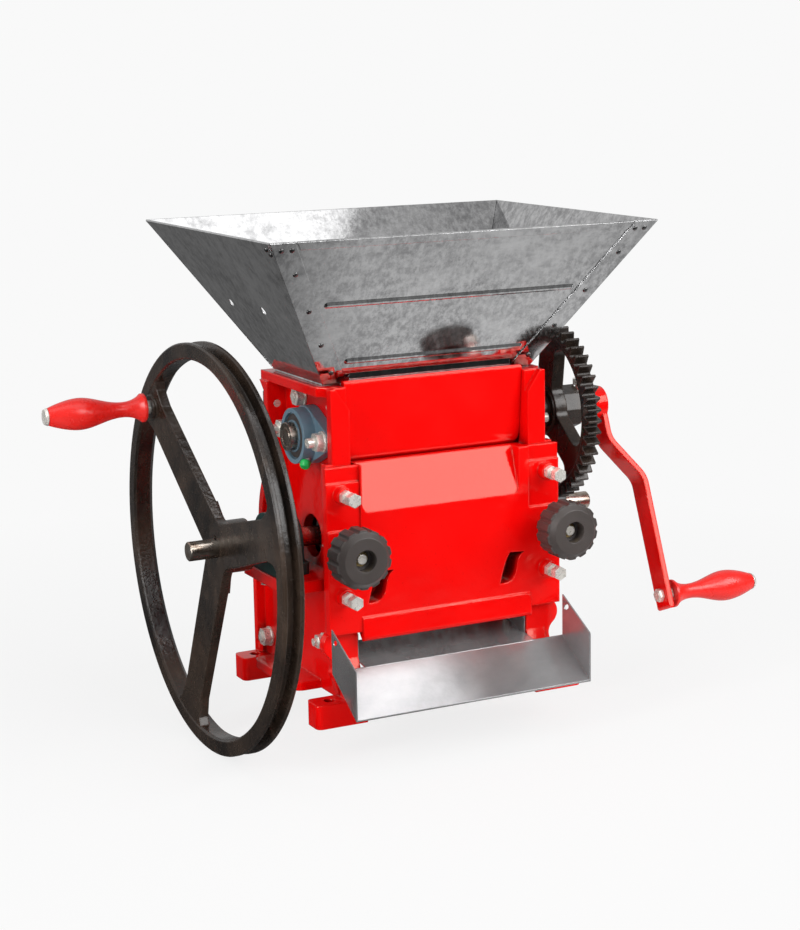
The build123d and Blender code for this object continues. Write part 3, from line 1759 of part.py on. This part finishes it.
with BuildPart() as wheel_grip:
    wheel_grip_x = pad_x - grip_nut - grip_play
    with BuildSketch(turned_at(wheel_pin_y, wheel_pin_z)):
        with BuildLine():
            Polyline(
                (wheel_grip_x - grip_long, grip_end_r),
                (wheel_grip_x - grip_long, grip_bore),
                (wheel_grip_x, grip_bore),
                (wheel_grip_x, grip_collar_r),
                (wheel_grip_x - collar_t, grip_collar_r),
            )
            Spline(
                (wheel_grip_x - collar_t, grip_collar_r),
                (wheel_grip_x - grip_long * 0.13, grip_neck_r + neck_flare),
                (wheel_grip_x - grip_long * 0.25, grip_neck_r),
                (wheel_grip_x - grip_long * 0.40, grip_neck_r + belly_drop),
                (wheel_grip_x - grip_long * 0.64, grip_r),
                (wheel_grip_x - grip_long * 0.85, grip_r - belly_drop),
                (wheel_grip_x - grip_long, grip_end_r),
            )
        make_face()
    revolve(axis=axis_at(wheel_pin_y, wheel_pin_z))
wheel_grip.part.label = "wheel_grip"

for piece in (
    right_side,
    left_side,
    throat_front,
    throat_back,
    rear_cover,
    panel_bolts,
    tie_rods,
    tie_nuts,
    hopper_front,
    hopper_back,
    hopper_right,
    hopper_left,
    hopper_bolts,
    chute,
    chute_bolts,
    upper_right_housing,
    upper_left_housing,
    upper_bearing_bolts,
    *pillow_housings,
    lower_bearing_bolts,
    breast_plate,
    *jack_screws,
    lock_nuts,
    knob_studs,
    right_sleeve,
    left_sleeve,
    right_knob,
    left_knob,
    right_bush,
    left_bush,
    drum_shaft,
    wheel_key,
    drum_core,
    drum_jacket,
    lower_rings,
    flywheel,
    pinion,
    pinion_pin,
    crank_shaft,
    gear_key,
    gear,
    upper_rings,
    feed_roller,
    crank_arm,
    crank_set_screw,
    crank_grip_pin,
    wheel_grip_pin,
    crank_grip,
    wheel_grip,
):
    export_step(piece.part, "parts/" + piece.part.label + ".step")
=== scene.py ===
import json
import math

import bmesh
import bpy
from mathutils import Matrix, Vector


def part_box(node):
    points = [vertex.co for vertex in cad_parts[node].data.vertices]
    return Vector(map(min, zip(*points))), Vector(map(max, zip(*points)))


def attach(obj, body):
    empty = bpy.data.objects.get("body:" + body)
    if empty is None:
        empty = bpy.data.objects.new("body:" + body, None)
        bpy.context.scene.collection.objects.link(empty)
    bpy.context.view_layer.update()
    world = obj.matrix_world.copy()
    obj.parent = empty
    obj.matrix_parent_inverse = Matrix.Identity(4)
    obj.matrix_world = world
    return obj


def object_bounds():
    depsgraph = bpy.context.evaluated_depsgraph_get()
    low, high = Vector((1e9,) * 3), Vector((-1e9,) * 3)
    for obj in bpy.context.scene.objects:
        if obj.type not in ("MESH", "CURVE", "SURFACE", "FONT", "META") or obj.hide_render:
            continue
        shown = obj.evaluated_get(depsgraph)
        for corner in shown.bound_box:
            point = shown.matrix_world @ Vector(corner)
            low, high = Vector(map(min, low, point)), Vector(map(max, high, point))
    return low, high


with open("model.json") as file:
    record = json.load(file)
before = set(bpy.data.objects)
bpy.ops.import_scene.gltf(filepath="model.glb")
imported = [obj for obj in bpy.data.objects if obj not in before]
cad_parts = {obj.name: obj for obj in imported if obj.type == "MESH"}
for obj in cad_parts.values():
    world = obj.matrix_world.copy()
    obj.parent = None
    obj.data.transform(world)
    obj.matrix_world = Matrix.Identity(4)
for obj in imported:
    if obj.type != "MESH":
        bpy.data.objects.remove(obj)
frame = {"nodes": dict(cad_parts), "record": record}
cad_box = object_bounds()
nodes = frame["nodes"]
scene = bpy.context.scene
scene.view_settings.view_transform = "Standard"

# Camera, fitted to the photograph's perspective
camera_right = (0.889996, -0.455667, -0.016594)
camera_up = (0.104648, 0.168702, 0.980096)
camera_back = (-0.443798, -0.874018, 0.197828)
camera_place = (-0.97203, -1.93766, 0.67467)
camera_sensor = 36.0
camera_lens = 81.01
camera_shift = (-0.0129, -0.0011)
camera_near = 0.05


def place_camera():
    camera = bpy.data.objects.new("camera", bpy.data.cameras.new("camera"))
    scene.collection.objects.link(camera)
    turn = Matrix((camera_right, camera_up, camera_back)).transposed().to_4x4()
    camera.matrix_world = Matrix.Translation(camera_place) @ turn
    camera.data.sensor_fit = "VERTICAL"
    camera.data.sensor_height = camera_sensor
    camera.data.lens = camera_lens
    camera.data.shift_x, camera.data.shift_y = camera_shift
    camera.data.clip_start = camera_near
    scene.camera = camera


# Node building
bevel_samples = 6
crease_samples = 8
edge_cosine = 0.92
noise_range = (0.3, 0.7)


class Tree:
    """A node tree with short calls for the nodes that the materials share."""

    def __init__(self, owner):
        owner.use_nodes = True
        self.tree = owner.node_tree
        self.tree.nodes.clear()
        self.place = None

    def add(self, kind, settings=None, **inputs):
        node = self.tree.nodes.new("ShaderNode" + kind)
        for name, value in (settings or {}).items():
            setattr(node, name, value)
        self.dress(node, **inputs)
        return node

    def dress(self, node, **inputs):
        for name, value in inputs.items():
            self.feed(node.inputs[name.replace("_", " ")], value)

    def feed(self, socket, value):
        if isinstance(value, bpy.types.NodeSocket):
            self.tree.links.new(value, socket)
        elif socket.type == "RGBA":
            socket.default_value = (*value, 1.0)
        else:
            socket.default_value = value

    def spot(self):
        if self.place is None:
            self.place = self.add("TexCoord").outputs["Object"]
        return self.place

    def noise(self, scale, detail=3.0, rough=0.55, twist=0.0, stretch=None):
        place = self.spot()
        if stretch is not None:
            place = self.add("Mapping", Vector=place, Scale=stretch).outputs[0]
        node = self.add("TexNoise", Vector=place, Scale=scale, Detail=detail)
        self.dress(node, Roughness=rough, Distortion=twist)
        return node.outputs[0]

    def span(self, value, source, target=(0.0, 1.0)):
        """Maps the source range of value to the target range, and holds it at the ends."""
        node = self.add("MapRange", Value=value)
        self.dress(node, From_Min=source[0], From_Max=source[1])
        self.dress(node, To_Min=target[0], To_Max=target[1])
        return node.outputs[0]

    def uneven(self, pattern, low, high):
        """A value that wanders between low and high with a noise pattern."""
        return self.span(pattern, noise_range, (low, high))

    def maths(self, operation, first, second):
        node = self.add("Math", {"operation": operation})
        self.feed(node.inputs[0], first)
        self.feed(node.inputs[1], second)
        return node.outputs[0]

    def blend(self, share, first, second):
        """Mixes two colours, which are sockets 6 and 7 of a Mix node."""
        node = self.add("Mix", {"data_type": "RGBA"})
        self.feed(node.inputs[0], share)
        self.feed(node.inputs[6], first)
        self.feed(node.inputs[7], second)
        return node.outputs[2]

    def layer(self, base, share, strength, colour):
        """Lays a colour over base where share is high."""
        return self.blend(self.maths("MULTIPLY", share, strength), base, colour)

    def mix(self, share, first, second):
        node = self.add("MixShader", Fac=share)
        self.feed(node.inputs[1], first.outputs[0])
        self.feed(node.inputs[2], second.outputs[0])
        return node

    def rounded(self, radius):
        return self.add("Bevel", {"samples": bevel_samples}, Radius=radius).outputs[0]

    def edges(self, rounded):
        """High along edges, where the rounded normal leaves the face's own."""
        flat = self.add("NewGeometry").outputs["Normal"]
        node = self.add("VectorMath", {"operation": "DOT_PRODUCT"})
        self.feed(node.inputs[0], rounded)
        self.feed(node.inputs[1], flat)
        return self.span(node.outputs["Value"], (1.0, edge_cosine))

    def crease(self, reach):
        """1 in the open, and less in corners that are narrower than reach."""
        return self.add("AmbientOcclusion", {"samples": crease_samples}, Distance=reach).outputs["AO"]

    def bump(self, height, depth, normal):
        return self.add("Bump", Height=height, Distance=depth, Normal=normal).outputs[0]


def new_material(name):
    material = bpy.data.materials.new(name)
    tree = Tree(material)
    shader = tree.add("BsdfPrincipled")
    output = tree.add("OutputMaterial")
    tree.feed(output.inputs["Surface"], shader.outputs[0])
    return material, tree, shader


# Materials, one for each slot of the record. Noise scales are per metre, radii and bump depths in metres.
def red_paint():
    deep_red = (0.70, 0.0016, 0.0016)
    bright_red = (0.86, 0.0022, 0.0020)
    speck_red = (0.42, 0.001, 0.001)
    thin_paint_and_highlight_red = (0.92, 0.02, 0.014)
    painted_shade_red = (0.030, 0.0006, 0.0006)
    material, tree, shader = new_material("red_paint")
    rounded = tree.rounded(0.0026)
    specks = tree.span(tree.noise(420.0, detail=2.0), (0.66, 0.74))
    # Painted shade: where ambient occlusion is high, in corners, creases, recesses and pockets, the red
    # darkens towards near black.
    corners = tree.span(tree.crease(0.024), (0.55, 0.15), (0.0, 0.9))
    base = tree.blend(tree.noise(11.0), deep_red, bright_red)
    base = tree.layer(base, specks, strength=0.35, colour=speck_red)
    # Lighter red along every edge: partly paint worn thin there, partly a painted highlight on the edges.
    base = tree.layer(base, tree.edges(rounded), strength=0.25, colour=thin_paint_and_highlight_red)
    base = tree.blend(corners, base, painted_shade_red)
    casting = tree.bump(tree.noise(55.0, detail=2.0), depth=0.0004, normal=rounded)
    peel = tree.bump(tree.noise(420.0, detail=1.0), depth=0.00008, normal=casting)
    tree.dress(shader, Base_Color=base, Normal=peel, Roughness=tree.uneven(tree.noise(35.0), 0.05, 0.11),
               Specular_IOR_Level=0.46, Specular_Tint=(1.0, 0.96, 0.80))
    return material


def steel_sheet(name, dark, pale, rough, wavy, mottle=1.0, metal=1.0):
    material, tree, shader = new_material(name)
    clouds = tree.noise(7.0, detail=4.0, rough=0.60, twist=0.4)
    spangle = tree.noise(150.0, detail=4.0, rough=0.75, stretch=(1.0, 1.0, 0.55))
    smears = tree.noise(30.0, detail=6.0, rough=0.70, twist=0.4, stretch=(0.6, 1.6, 1.6))
    base = tree.blend(tree.span(clouds, (0.34, 0.66), (0.10, 0.90)), dark, pale)
    base = tree.blend(tree.span(smears, (0.40, 0.66), (0.0, 0.80 * mottle)), base, dark)
    base = tree.blend(tree.span(spangle, (0.40, 0.62), (0.0, 0.70 * mottle)), base, pale)
    waves = tree.bump(tree.noise(6.0, detail=1.0), depth=wavy, normal=tree.rounded(0.0008))
    grain = tree.bump(spangle, depth=0.00003, normal=waves)
    tree.dress(shader, Base_Color=base, Metallic=metal, Normal=grain,
               Roughness=tree.uneven(clouds, rough, rough + 0.06))
    return material


def plated(name, stained, clean, rough, metal=1.0):
    material, tree, shader = new_material(name)
    stains = tree.span(tree.noise(90.0, detail=4.0), (0.35, 0.7))
    grain = tree.bump(tree.noise(700.0, detail=2.0), depth=0.00005, normal=tree.rounded(0.0010))
    tree.dress(shader, Base_Color=tree.blend(stains, clean, stained), Metallic=metal, Normal=grain,
               Roughness=tree.uneven(tree.noise(160.0), rough, rough + 0.14))
    return material


def punched_sheet():
    dark = (0.48, 0.48, 0.475)
    pale = (0.66, 0.66, 0.65)
    material, tree, shader = new_material("drum_sheet")
    cells = tree.add("TexVoronoi", {"feature": "F1"}, Vector=tree.spot(), Scale=95.0).outputs["Distance"]
    bulbs = tree.bump(tree.span(cells, (0.55, 0.0)), depth=0.003, normal=tree.rounded(0.0008))
    base = tree.blend(tree.noise(60.0, detail=4.0), dark, pale)
    tree.dress(shader, Base_Color=base, Metallic=1.0, Normal=bulbs,
               Roughness=tree.uneven(tree.noise(120.0), 0.24, 0.40))
    return material


def painted(name, dark, pale, edge, rough):
    material, tree, shader = new_material(name)
    rounded = tree.rounded(0.0018)
    worn = tree.maths("MULTIPLY", tree.edges(rounded), tree.span(tree.noise(150.0), (0.45, 0.62)))
    base = tree.layer(tree.blend(tree.noise(60.0), dark, pale), worn, strength=0.6, colour=edge)
    casting = tree.bump(tree.noise(220.0), depth=0.0003, normal=rounded)
    tree.dress(shader, Base_Color=base, Normal=casting, Specular_IOR_Level=0.45,
               Roughness=tree.uneven(tree.noise(70.0), rough, rough + 0.15))
    return material


def black_iron():
    soot = (0.0052, 0.0036, 0.0030)
    brown = (0.040, 0.0255, 0.0175)
    scuff_brown = (0.105, 0.070, 0.050)
    edge_brown = (0.085, 0.064, 0.054)
    material, tree, shader = new_material("black_iron")
    rounded = tree.rounded(0.0022)
    patches = tree.span(tree.noise(9.0, detail=5.0, rough=0.58, twist=0.5), (0.36, 0.66))
    scuffs = tree.span(tree.noise(80.0, detail=6.0, rough=0.72, stretch=(1.0, 1.0, 0.45)), (0.54, 0.74))
    base = tree.blend(patches, soot, brown)
    base = tree.layer(base, scuffs, strength=0.30, colour=scuff_brown)
    base = tree.layer(base, tree.edges(rounded), strength=0.25, colour=edge_brown)
    casting = tree.bump(tree.noise(190.0), depth=0.0004, normal=rounded)
    tree.dress(shader, Base_Color=base, Normal=casting, Specular_IOR_Level=0.48,
               Roughness=tree.uneven(tree.noise(45.0, detail=4.0), 0.17, 0.34))
    return material


def moulded(name, dark, pale, rough, grain, shine):
    material, tree, shader = new_material(name)
    skin = tree.bump(tree.noise(grain, detail=2.0), depth=0.0002, normal=tree.rounded(0.0018))
    tree.dress(shader, Base_Color=tree.blend(tree.noise(40.0), dark, pale), Normal=skin,
               Roughness=tree.uneven(tree.noise(60.0), rough, rough + 0.12), Specular_IOR_Level=shine)
    return material


finishes = {
    "red_paint": red_paint(),
    "steel_sheet": steel_sheet(
        "steel_sheet", dark=(0.31, 0.31, 0.315), pale=(0.83, 0.83, 0.835), rough=0.05, wavy=0.0014
    ),
    "zinc": plated("zinc", stained=(0.72, 0.68, 0.61), clean=(0.93, 0.90, 0.85), rough=0.20, metal=0.55),
    "grey_housing": painted(
        "grey_housing", dark=(0.105, 0.180, 0.235), pale=(0.145, 0.235, 0.300),
        edge=(0.26, 0.30, 0.33), rough=0.34
    ),
    "green_housing": painted(
        "green_housing", dark=(0.008, 0.030, 0.028), pale=(0.014, 0.046, 0.042),
        edge=(0.06, 0.08, 0.07), rough=0.40
    ),
    "black_iron": black_iron(),
    "bright_steel": plated(
        "bright_steel", stained=(0.30, 0.22, 0.165), clean=(0.60, 0.55, 0.49), rough=0.22
    ),
    "grey_iron": painted(
        "grey_iron", dark=(0.10, 0.10, 0.10), pale=(0.16, 0.155, 0.15),
        edge=(0.26, 0.25, 0.24), rough=0.5
    ),
    "drum_sheet": punched_sheet(),
    "black_plastic": moulded(
        "black_plastic", dark=(0.044, 0.036, 0.033), pale=(0.064, 0.052, 0.048),
        rough=0.36, grain=900.0, shine=0.5
    ),
    "bush_brass": plated("bush_brass", stained=(0.46, 0.30, 0.11), clean=(0.76, 0.58, 0.28), rough=0.25),
    "red_plastic": moulded(
        "red_plastic", dark=(0.70, 0.010, 0.007), pale=(0.80, 0.016, 0.010),
        rough=0.22, grain=300.0, shine=0.55
    ),
}
# Finishes of single pieces, which go by the slot of a like material
rivet_finish = plated("rivet", stained=(0.10, 0.10, 0.10), clean=(0.24, 0.24, 0.24), rough=0.30)
cap_finish = moulded(
    "cap_green", dark=(0.008, 0.42, 0.080), pale=(0.016, 0.56, 0.120),
    rough=0.28, grain=400.0, shine=0.5
)
chute_finish = steel_sheet(
    "chute_sheet", dark=(0.26, 0.26, 0.265), pale=(0.46, 0.46, 0.465),
    rough=0.15, wavy=0.004, mottle=0.3, metal=0.68
)


def dress_node(node, finish):
    mesh = nodes[node].data
    mesh.materials.clear()
    mesh.materials.append(finish)


def dress_nodes():
    for entry in frame["record"]["subparts"]:
        dress_node(entry["node"], finishes[entry["material_slot"]])
    dress_node("chute", chute_finish)


# Small pieces that the solids leave out. A profile holds (along, radius) pairs of a turned form, in metres.
sharp_angle = math.radians(38)

# Rivet heights are shares of the hopper's height, and foot_lap is a lap's width at the hopper's foot
rivet_profile = ((-0.0006, 0.0028), (0.0004, 0.0027), (0.0011, 0.0020), (0.0015, 0.0009))
rivet_heights = (0.085, 0.29, 0.53, 0.785, 0.945)
rivet_inset = 0.012
rivet_pair = 0.011
rim_rivet_drops = (0.0075, 0.0125)
rim_rivet_back = 0.016
foot_lap = 0.0238

seal_profile = ((-0.0036, 0.0225), (-0.0022, 0.0225), (-0.0012, 0.0160))
nipple_profile = (
    (0.0, 0.0036), (0.003, 0.0036), (0.003, 0.0022), (0.0052, 0.0020), (0.0058, 0.0028), (0.0075, 0.0022)
)
cap_profile = ((0.0028, 0.0044), (0.0036, 0.0056), (0.0085, 0.0054), (0.0105, 0.0038))
# Upper nipples are placed from the housing's outer face and centre, lower ones from its top
upper_nipple_in = 0.0075
upper_nipple_forward = 0.0165
upper_nipple_down = 0.0215
upper_nipple_way = (0.45, -0.45, -0.77)
lower_nipple_sunk = 0.001
lower_nipple_way = (0.35, -0.35, 1.0)

set_screw_profile = ((-0.002, 0.0025), (0.0002, 0.0025), (0.0002, 0.0013), (-0.0018, 0.0012))
set_screw_inset = 0.0042
set_screw_angles = (math.radians(118), math.radians(238))

thread_pitch = 0.00125
thread_root = 0.0039
thread_crest = 0.0044
jack_head = 0.0082
breast_travel = 0.003
nut_gap = 0.0002


def turned(build, profile, place, axis, steps):
    """Adds a turned form to build, with its profile counted from place along axis."""
    seat = Matrix.Translation(place) @ Vector(axis).to_track_quat("Z", "Y").to_matrix().to_4x4()
    rings = []
    for along, radius in profile:
        ring = []
        for number in range(steps):
            angle = math.tau * number / steps
            point = Vector((radius * math.cos(angle), radius * math.sin(angle), along))
            ring.append(build.verts.new(seat @ point))
        rings.append(ring)
    for first, second in zip(rings, rings[1:]):
        for number in range(steps):
            after = (number + 1) % steps
            build.faces.new((first[number], first[after], second[after], second[number]))
    build.faces.new(rings[0][::-1])
    build.faces.new(rings[-1])


def add_piece(name, build, finish, body):
    mesh = bpy.data.meshes.new(name)
    bmesh.ops.recalc_face_normals(build, faces=build.faces)
    build.to_mesh(mesh)
    build.free()
    mesh.shade_smooth()
    mesh.set_sharp_from_angle(angle=sharp_angle)
    mesh.materials.append(finish)
    piece = bpy.data.objects.new(name, mesh)
    scene.collection.objects.link(piece)
    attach(piece, body)


def touch(node, start, direction):
    """Where a ray from start meets a CAD node, and the face's normal there."""
    hit = nodes[node].ray_cast(Vector(start), Vector(direction))
    return hit[1], hit[2]


def middle(node):
    low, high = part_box(node)
    return (Vector(low) + Vector(high)) / 2


def add_rivets():
    """Rivets up the four laps of the hopper, in pairs at the top, and two under each side's rim."""
    low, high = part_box("hopper_front")
    foot_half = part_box("hopper_right")[0][0] + foot_lap
    build = bmesh.new()
    for side, sheet in ((-1, "hopper_left"), (1, "hopper_right")):
        for part in rivet_heights:
            across = foot_half + (high[0] - foot_half) * part - rivet_inset
            height = low[2] + (high[2] - low[2]) * part
            spots = [across]
            if part == rivet_heights[-1]:
                spots = [across - rivet_pair / 2, across + rivet_pair / 2]
            for spot in spots:
                for towards in (1, -1):
                    place, normal = touch(sheet, (side * spot, -towards, height), (0, towards, 0))
                    turned(build, rivet_profile, place, normal, steps=12)
        for drop in rim_rivet_drops:
            place, normal = touch(sheet, (side, low[1] + rim_rivet_back, high[2] - drop), (-side, 0, 0))
            turned(build, rivet_profile, place, normal, steps=12)
    add_piece("hopper_rivets", build, rivet_finish, "frame")


def outward(side, way):
    """A direction written for the right side, mirrored for the left one."""
    return (side * way[0], way[1], way[2])


def add_bearing_details():
    """Seals and capped nipples of the upper bearings, and bare nipples on top of the lower ones."""
    seals = bmesh.new()
    nipples = bmesh.new()
    caps = bmesh.new()
    for side, hand in ((-1, "left"), (1, "right")):
        low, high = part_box(f"upper_{hand}_housing")
        centre = middle(f"upper_{hand}_housing")
        face = high[0] if side > 0 else low[0]
        turned(seals, seal_profile, (face, centre.y, centre.z), (side, 0, 0), steps=32)
        ahead = centre.y - upper_nipple_forward
        below = centre.z - upper_nipple_down
        spot = (face - side * upper_nipple_in, ahead, below)
        way = outward(side, upper_nipple_way)
        turned(nipples, nipple_profile, spot, way, steps=12)
        turned(caps, cap_profile, spot, way, steps=16)
    for side, hand in ((-1, "left"), (1, "right")):
        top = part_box(f"lower_{hand}_housing")[1][2]
        centre = middle(f"lower_{hand}_housing")
        spot = (centre.x, centre.y, top - lower_nipple_sunk)
        turned(nipples, nipple_profile, spot, outward(side, lower_nipple_way), steps=12)
    add_piece("bearing_seals", seals, finishes["black_plastic"], "frame")
    add_piece("grease_nipples", nipples, finishes["zinc"], "frame")
    add_piece("grease_caps", caps, cap_finish, "frame")


def add_set_screws(name, rings, body):
    """Two set screws in the outer end of each bearing ring."""
    low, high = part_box(rings)
    centre = middle(rings)
    radius = (high[2] - low[2]) / 2
    build = bmesh.new()
    for end in (low[0] + set_screw_inset, high[0] - set_screw_inset):
        for angle in set_screw_angles:
            way = Vector((0.0, math.cos(angle), math.sin(angle)))
            place = Vector((end, centre.y, centre.z)) + way * radius
            turned(build, set_screw_profile, place, way, steps=12)
    add_piece(name, build, finishes["black_iron"], body)


def add_threads():
    """Threads of the jack screws, which stop short of the lock nuts by the breast plate's travel."""
    for corner in ("upper_right", "upper_left", "lower_right", "lower_left"):
        screw = corner + "_jack_screw"
        centre = middle(screw)
        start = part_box(screw)[0][1] + jack_head
        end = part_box("lock_nuts")[0][1] - breast_travel - nut_gap
        turns = int((end - start) / thread_pitch)
        profile = []
        for number in range(turns):
            profile.append((number * thread_pitch, thread_root))
            profile.append(((number + 0.5) * thread_pitch, thread_crest))
        profile.append((turns * thread_pitch, thread_root))
        build = bmesh.new()
        turned(build, profile, (centre.x, start, centre.z), (0, 1, 0), steps=20)
        add_piece(corner + "_thread", build, finishes["zinc"], corner + "_jack")


# Stage: a white studio whose floor keeps a faint shadow
plain_white = (1.0, 1.0, 1.0)
backdrop_white = (0.947, 0.947, 0.947)
paper_white = (0.86, 0.86, 0.86)
floor_half = 6.0
floor_drop = 0.0004
fill_light = 0.36
lamp_aim = Vector((0.0, 0.0, 0.22))
lamps = (
    ("key", (1.18, -1.94, 1.53), (2.6, 1.45), 64.0),
    ("overhead", (-0.27, -0.44, 2.1), (2.2, 1.1), 8.5),
    ("left", (-2.2, -0.9, 1.2), (0.8, 1.6), 38.0),
)


def ray_kinds(tree):
    """Whether a ray comes from the camera, and whether it was mirrored or passed through glass."""
    rays = tree.add("LightPath").outputs
    mirrored = tree.maths("MAXIMUM", rays["Is Glossy Ray"], rays["Is Transmission Ray"])
    return rays["Is Camera Ray"], mirrored


def floor_material():
    """Paper with a faint shadow near the machine, and brighter on the right and behind for mirrors."""
    material = bpy.data.materials.new("floor")
    tree = Tree(material)
    seen, mirrored = ray_kinds(tree)
    place = tree.add("SeparateXYZ", Vector=tree.spot()).outputs
    distance = tree.add("VectorMath", {"operation": "LENGTH"})
    tree.feed(distance.inputs[0], tree.spot())
    front = tree.span(place["Y"], (-0.70, -0.25))
    back = tree.span(place["Y"], (0.70, 0.25))
    right = tree.span(place["X"], (-0.05, 0.15), (0.05, 0.58))
    near = tree.maths("MULTIPLY", tree.maths("MULTIPLY", front, back), right)
    behind = tree.span(place["Y"], (0.40, 0.75), (0.02, 0.14))
    clear = tree.span(distance.outputs["Value"], (0.35, 1.1), (0.86, 1.0))
    paper = tree.add("BsdfDiffuse", Color=paper_white)
    white = tree.add("Emission", Color=backdrop_white, Strength=1.0)
    glow = tree.add("Emission", Color=plain_white, Strength=tree.maths("ADD", near, behind))
    ground = tree.mix(tree.maths("MULTIPLY", seen, clear), paper, white)
    output = tree.add("OutputMaterial")
    tree.feed(output.inputs["Surface"], tree.mix(mirrored, ground, glow).outputs[0])
    return material


def add_floor():
    mesh = bpy.data.meshes.new("floor")
    height = cad_box[0][2] - floor_drop
    corners = [(-1, -1), (1, -1), (1, 1), (-1, 1)]
    mesh.from_pydata([(x * floor_half, y * floor_half, height) for x, y in corners], [], [(0, 1, 2, 3)])
    mesh.materials.append(floor_material())
    floor = bpy.data.objects.new("floor", mesh)
    scene.collection.objects.link(floor)


def add_world():
    """White to the camera, even light for the object, and brighter behind, above and ahead for mirrors."""
    world = bpy.data.worlds.new("studio")
    scene.world = world
    tree = Tree(world)
    seen, mirrored = ray_kinds(tree)
    way = tree.add("SeparateXYZ", Vector=tree.add("TexCoord").outputs["Generated"]).outputs
    behind = tree.span(way["Y"], (0.0, 0.7), (0.02, 0.55))
    above = tree.span(way["Z"], (0.35, 0.95), (0.0, 0.38))
    ahead = tree.span(way["Y"], (0.0, -0.5), (0.0, 0.16))
    shine = tree.maths("ADD", tree.maths("ADD", behind, above), ahead)
    fill = tree.add("Background", Color=plain_white, Strength=fill_light)
    glow = tree.add("Background", Color=plain_white, Strength=shine)
    white = tree.add("Background", Color=backdrop_white, Strength=1.0)
    output = tree.add("OutputWorld")
    tree.feed(output.inputs["Surface"], tree.mix(seen, tree.mix(mirrored, fill, glow), white).outputs[0])


def add_lamp(name, place, size, watts):
    lamp = bpy.data.objects.new(name, bpy.data.lights.new(name, "AREA"))
    lamp.data.shape = "RECTANGLE"
    lamp.data.size, lamp.data.size_y = size
    lamp.data.energy = watts
    lamp.location = place
    lamp.rotation_euler = (lamp_aim - Vector(place)).to_track_quat("-Z", "Y").to_euler()
    scene.collection.objects.link(lamp)


dress_nodes()
add_rivets()
add_bearing_details()
add_set_screws("lower_set_screws", "lower_rings", "drum")
add_set_screws("upper_set_screws", "upper_rings", "crank")
add_threads()
place_camera()
add_floor()
add_world()
for name, place, size, watts in lamps:
    add_lamp(name, place, size, watts)
